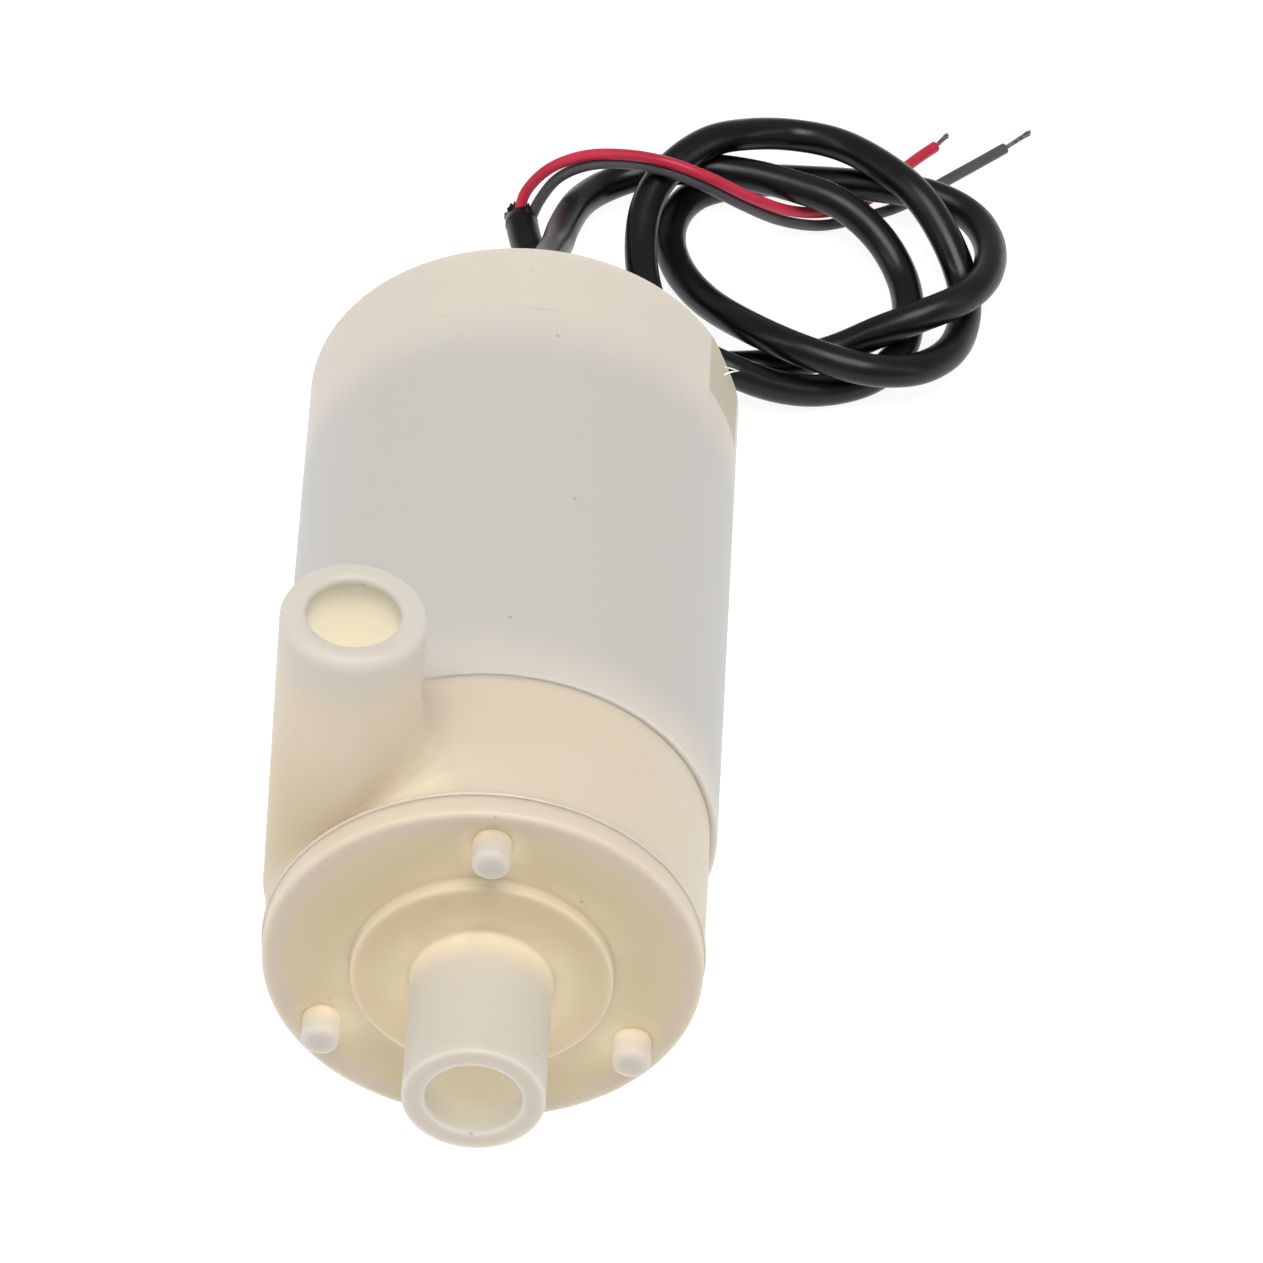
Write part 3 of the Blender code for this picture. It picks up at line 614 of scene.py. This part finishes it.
combine(head, foot, (OUTLET_X, OUTLET_Y, HEAD_Z), "UNION")
drill = turned([(0, 0), (OUTLET_BORE_R, 0), (OUTLET_BORE_R, 24), (0, 24)], 48, closed=False)
bmesh.ops.rotate(drill, verts=drill.verts, matrix=stand)
combine(head, drill, (OUTLET_X, OUTLET_Y, BORE_FOOT_Z), "DIFFERENCE")
for radius, y_from, y_to in (
    (CHAMBER_R, HEAD_FRONT_Y - 3, CHAMBER_BACK_Y),
    (SEAL_BORE_R, CHAMBER_BACK_Y - 1, RECESS_Y),
    (RECESS_R, RECESS_Y, HEAD_BACK_Y + 3),
):
    cavity = turned([(0, y_from), (radius, y_from), (radius, y_to), (0, y_to)], 96, closed=False)
    combine(head, cavity, (0, 0, AXIS_Z), "DIFFERENCE")
remesh = head.modifiers.new("even_mesh", "REMESH")
remesh.mode, remesh.voxel_size = "VOXEL", VOXEL
apply_modifiers(head)
settle_on_head(head.data)

# Its ends are faced off flat, and a spigot at the back plugs into the housing
bm = bmesh.new()
bm.from_mesh(head.data)
for y, outwards in ((HEAD_FRONT_Y, -1), (HEAD_BACK_Y, 1)):
    bmesh.ops.bisect_plane(
        bm, geom=bm.verts[:] + bm.edges[:] + bm.faces[:], dist=1e-3,
        plane_co=(0, y, 0), plane_no=(0, outwards, 0), clear_outer=True,
    )
rims = [e for e in bm.edges if e.is_boundary]
front_rims = [e for e in rims if all(v.co.y < HEAD_FRONT_Y + 0.1 for v in e.verts)]
back_rims = [e for e in rims if all(v.co.y > HEAD_BACK_Y - 0.1 for v in e.verts)]
outer = [
    e for e in back_rims if math.hypot(e.verts[0].co.x, e.verts[0].co.z - AXIS_Z) > CHAMBER_R
]
inner = [e for e in back_rims if e not in outer]
bmesh.ops.bridge_loops(bm, edges=front_rims)
shoulder = bmesh.ops.extrude_edge_only(bm, edges=outer)["geom"]
shoulder_verts = [item for item in shoulder if isinstance(item, bmesh.types.BMVert)]
share = SPIGOT_R / HEAD_R
bmesh.ops.scale(
    bm, vec=(share, 1, share), verts=shoulder_verts,
    space=Matrix.Translation((-HEAD_X, 0, -HEAD_Z)),
)
spigot_rim = [item for item in shoulder if isinstance(item, bmesh.types.BMEdge)]
for loop in (spigot_rim, inner):
    spigot = bmesh.ops.extrude_edge_only(bm, edges=loop)["geom"]
    spigot_verts = [item for item in spigot if isinstance(item, bmesh.types.BMVert)]
    bmesh.ops.translate(bm, vec=(0, SPIGOT_LONG, 0), verts=spigot_verts)
bmesh.ops.bridge_loops(bm, edges=[e for e in bm.edges if e.is_boundary])
bmesh.ops.recalc_face_normals(bm, faces=bm.faces)
bm.to_mesh(head.data)
bm.free()
measure_walls(head, bore_axis=2)

material, shader, place = natural_nylon("natural_nylon_head")
colour = thick_and_thin(material, shader, place, "#d9ccb9", "Z", 28.0, 31.8, glow=0.54)
# The tube is painted a deeper tan towards its foot, darker towards the bottom
beside = add(material, "SeparateXYZ", {"Vector": place})
foot = to_range(material, beside.outputs["X"], -2.5 * MM, -7.0 * MM)
lower = to_range(material, beside.outputs["Z"], 27.5 * MM, 18.5 * MM, 0.0, 0.65)
colour = blend_colours(material, multiply(material, foot, lower), colour, linear("#cbb68f"))
colour = with_specks(material, place, colour)
material.node_tree.links.new(colour, shader.inputs["Base Color"])
finish_piece(head, material, "natural_nylon", "pump_head", sharp=50)


# ---- The inlet cover -------------------------------------------------------------------
# A moulded disc glued over the chamber, with the inlet tube on a low boss and three
# short pins that once held a strainer.

COVER_FRONT_Y, COVER_BACK_Y = -17.0, -15.5
BOSS_R, BOSS_Y = 7.05, -17.85
INLET_R, INLET_BORE_R, INLET_TIP_Y = 3.82, 2.6, -26.6
PIN_R, PIN_RING_R, PIN_TIP_Y = 1.05, 9.65, -18.85
COVER_SIDES = 224


def stepped(profile, longest):
    """The profile with points added so that no stretch is longer than this."""
    points = []
    for start, end in zip(profile, profile[1:] + profile[:1]):
        pieces = max(1, math.ceil(math.dist(start, end) / longest))
        points += [
            tuple(a + (b - a) * step / pieces for a, b in zip(start, end)) for step in range(pieces)
        ]
    return points


plate = turned(
    stepped(
        [
            (INLET_BORE_R, COVER_BACK_Y), (INLET_BORE_R, INLET_TIP_Y), (INLET_R, INLET_TIP_Y),
            (INLET_R, BOSS_Y), (BOSS_R, BOSS_Y), (BOSS_R, COVER_FRONT_Y), (HEAD_R, COVER_FRONT_Y),
            (HEAD_R, COVER_BACK_Y),
        ],
        0.6,
    ),
    COVER_SIDES,
)
round_off(plate, HEAD_R, COVER_FRONT_Y, 0.22, 4)
round_off(plate, BOSS_R, BOSS_Y, 0.22, 4)
round_off(plate, BOSS_R, COVER_FRONT_Y, 0.2, 3)
round_off(plate, INLET_R, BOSS_Y, 0.25, 4)
round_off(plate, INLET_R, INLET_TIP_Y, 0.16, 4)
round_off(plate, INLET_BORE_R, INLET_TIP_Y, 0.15, 3)
cover = as_object("inlet_cover_disc", plate, (HEAD_X, 0, HEAD_Z))
for angle in (90, 210, 330):
    root = COVER_FRONT_Y + 0.7
    pin = turned([(0, root), (PIN_R, root), (PIN_R, PIN_TIP_Y), (0, PIN_TIP_Y)], 40, closed=False)
    round_off(pin, PIN_R, PIN_TIP_Y, 0.38, 5)
    turn = math.radians(angle)
    across, up = PIN_RING_R * math.cos(turn), PIN_RING_R * math.sin(turn)
    combine(cover, pin, (HEAD_X + across, 0, HEAD_Z + up), "UNION")
measure_walls(cover, bore_axis=1)

material, shader, place = natural_nylon("natural_nylon_cover")
colour = thick_and_thin(material, shader, place, "#d3c29f", "Y", -17.7, -20.8, glow=0.42)
# The rims of the disc and of its boss pass more light, in bands 1.7 and 0.9 mm wide
centred = add(
    material,
    "Mapping",
    {"Vector": place, "Location": (-HEAD_X * MM, 0, -HEAD_Z * MM), "Scale": (1, 0, 1)},
).outputs[0]
from_axis = add(material, "VectorMath", {0: centred}, operation="LENGTH").outputs["Value"]
disc_rim = to_range(
    material, from_axis, (HEAD_R - 1.7) * MM, (HEAD_R - 0.4) * MM, 0.0, 0.75
)
boss_rim = to_range(material, from_axis, (BOSS_R - 0.9) * MM, (BOSS_R - 0.1) * MM, 0.0, 0.4)
boss_end = to_range(material, from_axis, BOSS_R * MM, (BOSS_R + 0.15) * MM, 1.0, 0.0)
boss_rim = multiply(material, boss_rim, boss_end)
rim = add(material, "Math", {0: disc_rim, 1: boss_rim}, operation="MAXIMUM").outputs[0]
colour = blend_colours(material, rim, colour, linear("#cdc1b3"))
# Their sides are seen through more plastic than the rims, so they are tan again
boss_side = to_range(material, from_axis, (BOSS_R - 0.05) * MM, (BOSS_R - 0.02) * MM)
boss_side = multiply(material, boss_side, boss_end)
disc_side = to_range(material, from_axis, (HEAD_R - 0.05) * MM, (HEAD_R - 0.02) * MM)
colour = blend_colours(material, boss_side, colour, linear("#d2c3a6"))
colour = blend_colours(material, disc_side, colour, linear("#d8cbb8"))
# The pins are thin enough to pass light over their whole length
along = add(material, "SeparateXYZ", {"Vector": place}).outputs["Y"]
on_pin = to_range(
    material, along, (COVER_FRONT_Y - 0.1) * MM, (PIN_TIP_Y + 0.7) * MM, 0.0, 0.6
)
pin_ring = to_range(material, from_axis, (BOSS_R + 1.2) * MM, (BOSS_R + 1.4) * MM)
colour = blend_colours(
    material, multiply(material, on_pin, pin_ring), colour, linear("#c9c2bd")
)
colour = with_specks(material, place, colour)
material.node_tree.links.new(colour, shader.inputs["Base Color"])
finish_piece(cover, material, "natural_nylon", "inlet_cover")
level_flats(cover)

# Solvent cement squeezed out in a fine bead where the cover meets the head
BEAD_R = 0.1
bead = bmesh.new()
bmesh.ops.create_circle(bead, segments=12, radius=BEAD_R)
bmesh.ops.translate(bead, vec=(HEAD_R, COVER_BACK_Y, 0), verts=bead.verts)
bmesh.ops.spin(
    bead, geom=bead.verts[:] + bead.edges[:], axis=(0, 1, 0), angle=math.tau,
    steps=COVER_SIDES, use_merge=True,
)
bmesh.ops.recalc_face_normals(bead, faces=bead.faces)
cement = as_object("cement_bead", bead, (HEAD_X, 0, HEAD_Z))
finish_piece(
    cement, grained("solvent_cement", "#e0d2bd", "#d6c8b2", 0.6, 0.3), "natural_nylon"
)


# ---- The cord --------------------------------------------------------------------------
# A round black PVC cord, 1.9 mm across, that leaves a moulded plug in the rear wall and
# lies beside the pump in three loose turns. Its end is cut off roughly.

CORD_R = 0.95
PLUG_R = 2.2
PLUG_TIP_Y = 29.4
CORD_ROUTE = [
    (0.0, REAR_Y + 2.9, 12.0), (0.0, 32.5, 11.8), (0.1, 36.4, 10.9), (0.4, 41.3, 8.4),
    (1.3, 48.0, 4.4), (1.7, 50.9, 3.3), (2.5, 53.9, 2.4), (3.8, 56.0, 1.8), (6.0, 57.2, 2.0),
    (8.8, 57.0, 2.9), (11.8, 56.6, 3.2), (14.7, 55.8, 3.3), (17.7, 54.6, 3.2), (20.1, 53.0, 2.2),
    (21.6, 50.7, 1.2), (22.0, 47.4, 0.95), (21.4, 44.4, 0.95), (19.7, 42.3, 0.95),
    (17.1, 41.1, 1.0), (14.5, 40.3, 1.8), (11.8, 40.2, 2.9), (9.3, 41.4, 3.2), (7.6, 43.8, 2.8),
    (6.6, 47.0, 2.6), (6.2, 50.0, 3.0), (6.3, 52.2, 3.6), (6.9, 54.0, 4.2), (8.2, 55.8, 4.7),
    (10.0, 57.5, 4.8), (12.4, 59.1, 4.1), (14.9, 59.8, 3.6), (17.4, 59.1, 3.8), (19.9, 57.1, 4.2),
    (22.2, 54.8, 4.1), (24.0, 52.5, 2.9), (25.1, 50.2, 1.6), (25.2, 47.2, 1.3), (24.3, 44.0, 1.9),
    (22.3, 41.6, 2.7), (19.6, 40.7, 3.3), (16.0, 41.6, 3.5), (12.6, 43.9, 3.0), (10.1, 47.0, 1.9),
    (8.5, 50.3, 1.1), (7.9, 52.9, 0.95), (8.2, 55.1, 0.95), (9.3, 56.9, 0.95), (11.2, 58.0, 0.95),
    (13.5, 58.6, 0.95), (16.0, 58.6, 1.1), (18.4, 58.0, 1.7), (20.8, 57.5, 2.1), (23.3, 57.0, 2.1),
    (25.4, 55.7, 2.0), (26.5, 53.0, 2.4), (26.3, 49.5, 3.1), (24.9, 46.9, 3.6), (22.6, 45.4, 3.4),
    (20.3, 44.8, 2.5), (17.8, 44.3, 1.2), (15.3, 43.3, 0.95), (12.5, 42.6, 0.95), (8.6, 42.4, 0.95),
    (4.6, 43.8, 0.95), (1.8, 46.5, 0.95), (0.3, 49.5, 0.95), (-0.4, 51.6, 0.95), (-0.8, 53.4, 0.95),
]


def smooth_points(route, count):
    """Evenly spaced points along a centripetal Catmull-Rom curve through the route."""
    knots = [Vector(point) for point in route]
    knots = [2 * knots[0] - knots[1]] + knots + [2 * knots[-1] - knots[-2]]
    fine = []
    for a, b, c, d in zip(knots, knots[1:], knots[2:], knots[3:]):
        ab, bc, cd = math.sqrt((b - a).length), math.sqrt((c - b).length), math.sqrt((d - c).length)
        start = (b - a) / ab - (c - a) / (ab + bc) + (c - b) / bc
        end = (c - b) / bc - (d - b) / (bc + cd) + (d - c) / cd
        start, end = start * bc, end * bc
        for step in range(16):
            t = step / 16
            fine.append(
                b * (2 * t**3 - 3 * t**2 + 1) + start * (t**3 - 2 * t**2 + t)
                + c * (3 * t**2 - 2 * t**3) + end * (t**3 - t**2)
            )
    fine.append(knots[-2])
    lengths = [0.0]
    for first, second in zip(fine, fine[1:]):
        lengths.append(lengths[-1] + (second - first).length)
    points, segment = [], 0
    for number in range(count):
        wanted = lengths[-1] * number / (count - 1)
        while segment < len(lengths) - 2 and lengths[segment + 1] < wanted:
            segment += 1
        share = (wanted - lengths[segment]) / (lengths[segment + 1] - lengths[segment])
        points.append(fine[segment].lerp(fine[segment + 1], min(max(share, 0.0), 1.0)))
    return points


def laid(name, strands, radius, material, slot, *nodes, sides=8):
    """One or more strands, each a list of points in millimetres, laid as round tubes."""
    curve = bpy.data.curves.new(name, "CURVE")
    curve.dimensions = "3D"
    curve.bevel_depth = radius * MM
    curve.bevel_resolution = sides
    curve.use_fill_caps = True
    for points in strands:
        spline = curve.splines.new("POLY")
        spline.points.add(len(points) - 1)
        for spline_point, point in zip(spline.points, points):
            spline_point.co = (*(Vector(point) * MM), 1.0)
        spline.use_smooth = True
    curve.materials.append(material)
    obj = bpy.data.objects.new(name, curve)
    bpy.context.scene.collection.objects.link(obj)
    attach(obj, BODY)
    if nodes:
        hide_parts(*nodes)
    return obj


def extruded_pvc(name, light, dark, roughness):
    """Soft PVC as extruded: satin, with a faint orange peel and a little bloom."""
    material, shader = new_material(name, {"IOR": 1.45, "Specular IOR Level": 0.4})
    place = add(material, "TexCoord", {}).outputs["Object"]
    # Bloom some 2 mm across, and a peel of 0.4 mm
    bloom = add(
        material, "TexNoise", {"Vector": place, "Scale": 0.25 / MM, "Detail": 4.0}
    ).outputs[0]
    share = to_range(material, bloom, 0.35, 0.7)
    colour = blend_colours(material, share, linear(dark), linear(light))
    material.node_tree.links.new(colour, shader.inputs["Base Color"])
    rough = to_range(material, bloom, 0.3, 0.7, roughness - 0.05, roughness + 0.07)
    material.node_tree.links.new(rough, shader.inputs["Roughness"])
    peel = add(
        material, "TexNoise", {"Vector": place, "Scale": 1.3 / MM, "Detail": 2.0}
    ).outputs[0]
    bump = add(material, "Bump", {"Height": peel, "Strength": 0.35, "Distance": 0.03 * MM})
    material.node_tree.links.new(bump.outputs[0], shader.inputs["Normal"])
    return material


black_pvc = extruded_pvc("black_pvc_jacket", "#0d0d0e", "#060607", 0.3)

# The plug is moulded round the cord, sits in the rear wall and tapers down to the jacket
plug = turned(
    [
        (0, 23.0), (PLUG_R, 23.0), (PLUG_R, REAR_Y + 0.3), (CORD_R + 0.7, REAR_Y + 0.9),
        (CORD_R + 0.2, PLUG_TIP_Y), (0, PLUG_TIP_Y),
    ],
    96,
    closed=False,
)
round_off(plug, PLUG_R, REAR_Y + 0.3, 0.2, 3)
round_off(plug, CORD_R + 0.7, REAR_Y + 0.9, 0.5, 4)
round_off(plug, CORD_R + 0.2, PLUG_TIP_Y, 0.12, 3)
seal = as_object("cord_plug", plug, (0, 0, AXIS_Z))
moulded_pvc = grained("moulded_black_pvc", "#232324", "#171718", 0.3, 0.5)
finish_piece(seal, moulded_pvc, "seal_rubber", "cable_seal")
level_flats(seal)

jacket_points = smooth_points([(0.0, PLUG_TIP_Y - 0.5, 12.0)] + CORD_ROUTE, 620)
jacket = laid("cord_jacket_black", [jacket_points], CORD_R, black_pvc, "cord_jacket", "cord_jacket")

# The knife left a ragged collar round the two wires
random.seed(7)
collar = bmesh.new()
bmesh.ops.create_cone(
    collar, segments=40, radius1=CORD_R * 1.02, radius2=CORD_R * 0.85, depth=0.9, cap_ends=True
)
lengthways = [e for e in collar.edges if abs(e.verts[0].co.z - e.verts[1].co.z) > 0.5]
bmesh.ops.subdivide_edges(collar, edges=lengthways, cuts=3)
for vert in collar.verts:
    if vert.co.z > 0:
        vert.co *= 1 + random.uniform(-0.12, 0.14)
        vert.co.z += random.uniform(-0.12, 0.35)
end_way = (jacket_points[-1] - jacket_points[-5]).normalized()
bmesh.ops.rotate(
    collar, verts=collar.verts, matrix=Vector((0, 0, 1)).rotation_difference(end_way).to_matrix()
)
cut_end = as_object("cord_cut_end", collar, jacket_points[-1] + end_way * 0.3)
finish_piece(cut_end, black_pvc, "cord_jacket")


# ---- The two wires ---------------------------------------------------------------------
# Thin PVC-insulated hook-up wire, red and grey, that arches out of the jacket's cut end.
# Each ends in a few millimetres of bare tinned strands.

WIRE_R = 0.33
STRAND_R = 0.045
RED_ROUTE = [
    (-1.0, 53.7, 1.25), (-0.7, 54.5, 2.3), (0.5, 55.0, 3.8), (2.5, 55.0, 5.1), (5.0, 54.4, 6.0),
    (7.4, 53.6, 6.4), (9.9, 53.2, 5.8), (12.4, 53.5, 4.2), (14.7, 54.7, 2.3), (16.9, 56.3, 0.9),
    (18.8, 57.6, 0.45), (20.1, 59.0, 0.4), (21.3, 60.9, 0.35), (22.4, 62.3, 0.35),
    (23.3, 63.3, 0.35),
]
GREY_ROUTE = [
    (-0.4, 53.7, 0.55), (0.15, 54.5, 1.75), (1.15, 55.0, 3.2), (2.8, 54.95, 4.42),
    (5.15, 54.4, 5.3), (7.4, 53.6, 5.68), (9.65, 53.2, 5.13), (12.0, 53.45, 3.6),
    (14.3, 54.5, 1.65), (16.7, 55.5, 0.55), (18.9, 56.5, 0.4), (20.9, 57.6, 0.35),
    (22.5, 58.9, 0.35), (23.7, 60.1, 0.35), (25.5, 61.8, 0.35), (27.4, 63.6, 0.35),
]
RED_TIP = (24.0, 64.4, 0.35)
GREY_TIP = (28.9, 65.2, 0.35)

# Tinned copper: dull silver with a fine grain
tinned = grained("tinned_copper", "#a9a5a0", "#77736e", 0.1, 0.38, 1.0, 0.01)


def strands_of(end, tip):
    """Seven strands with a slight twist, the outer ones opening at the cut."""
    end, tip = Vector(end), Vector(tip)
    way = (tip - end).normalized()
    side = way.orthogonal().normalized()
    strands = []
    for number in range(7):
        spread = 0 if number == 0 else 2 * STRAND_R
        points = []
        for step in range(13):
            share = step / 12
            turn = math.tau * (number / 6 + 0.35 * share)
            out = Matrix.Rotation(turn, 3, way) @ side * spread * (1 + 0.5 * share**3)
            points.append((end - way * 0.2).lerp(tip, share * (1 - 0.03 * (number % 3))) + out)
        strands.append(points)
    return strands


for colour_name, route, tip, light, dark in (
    ("red", RED_ROUTE, RED_TIP, "#cb2f4a", "#b5213b"),
    ("grey", GREY_ROUTE, GREY_TIP, "#59565b", "#464449"),
):
    pvc = extruded_pvc(f"{colour_name}_pvc", light, dark, 0.36)
    finish_nodes(pvc, f"inner_lead_{colour_name}")
    points = smooth_points(route, 200)
    wire = laid(
        f"wire_{colour_name}", [points], WIRE_R, pvc,
        f"{colour_name}_insulation", f"{colour_name}_wire",
    )
    bare = laid(
        f"wire_{colour_name}_strands", strands_of(route[-1], tip), STRAND_R, tinned,
        "tinned_copper", f"{colour_name}_wire_tip", sides=3,
    )


# ---- The table, the light and the camera -----------------------------------------------
# A white table top under a wide soft light, with two narrow ones that draw the edges.

table = bmesh.new()
bmesh.ops.create_grid(table, x_segments=1, y_segments=1, size=4000)
floor = as_object("white_table", table, (0, 0, -0.02))
floor.data.transform(Matrix.Scale(MM, 4))
# Glossless white laminate, lit from below as a light table is
white, shader = new_material(
    "white_laminate",
    {
        "Base Color": linear("#8a8a8a"), "Roughness": 0.9, "Specular IOR Level": 0.0,
        "Emission Color": (1, 1, 1, 1), "Emission Strength": 0.9,
    },
)
floor.data.materials.append(white)

world = bpy.data.worlds.new("studio")
bpy.context.scene.world = world
world.use_nodes = True
world.node_tree.nodes["Background"].inputs["Color"].default_value = (1, 1, 1, 1)
world.node_tree.nodes["Background"].inputs["Strength"].default_value = 0.4


def soft_light(name, place, aim, size, watts):
    lamp = bpy.data.lights.new(name, "AREA")
    lamp.shape, lamp.size, lamp.size_y = "RECTANGLE", size[0], size[1]
    lamp.energy = watts
    obj = bpy.data.objects.new(name, lamp)
    obj.location = place
    obj.rotation_euler = (Vector(aim) - Vector(place)).to_track_quat("-Z", "Y").to_euler()
    bpy.context.scene.collection.objects.link(obj)


PUMP_MIDDLE = (0, 0.01, 0.012)
soft_light("overhead", (0.0, -0.2, 0.88), PUMP_MIDDLE, (0.6, 0.5), 5.9)
soft_light("left_strip", (-0.7, -0.25, 0.55), PUMP_MIDDLE, (0.12, 0.7), 0.9)
soft_light("right_strip", (0.75, -0.2, 0.5), PUMP_MIDDLE, (0.12, 0.7), 0.6)

CAMERA_TARGET = Vector((6.72, 9.19, 12.1)) * MM
CAMERA_FAR = 626.6 * MM
CAMERA_AZIMUTH, CAMERA_ELEVATION, CAMERA_ROLL = map(math.radians, (1.42, 44.96, 5.3))
CAMERA_VIEW = math.radians(6.345)  # the angle that the whole picture spans

forward = Vector(
    (
        math.sin(CAMERA_AZIMUTH) * math.cos(CAMERA_ELEVATION),
        math.cos(CAMERA_AZIMUTH) * math.cos(CAMERA_ELEVATION),
        -math.sin(CAMERA_ELEVATION),
    )
)
level = Vector((math.cos(CAMERA_AZIMUTH), -math.sin(CAMERA_AZIMUTH), 0))
right = Matrix.Rotation(-CAMERA_ROLL, 3, forward) @ level
up = right.cross(forward)
lens = bpy.data.cameras.new("camera")
lens.sensor_width = 36
lens.lens = lens.sensor_width / 2 / math.tan(CAMERA_VIEW / 2)
lens.clip_start, lens.clip_end = 0.05, 20
camera = bpy.data.objects.new("camera", lens)
camera.matrix_world = (
    Matrix.Translation(CAMERA_TARGET - forward * CAMERA_FAR)
    @ Matrix((right, up, -forward)).transposed().to_4x4()
)
bpy.context.scene.collection.objects.link(camera)
bpy.context.scene.camera = camera
bpy.context.scene.view_settings.view_transform = "Standard"
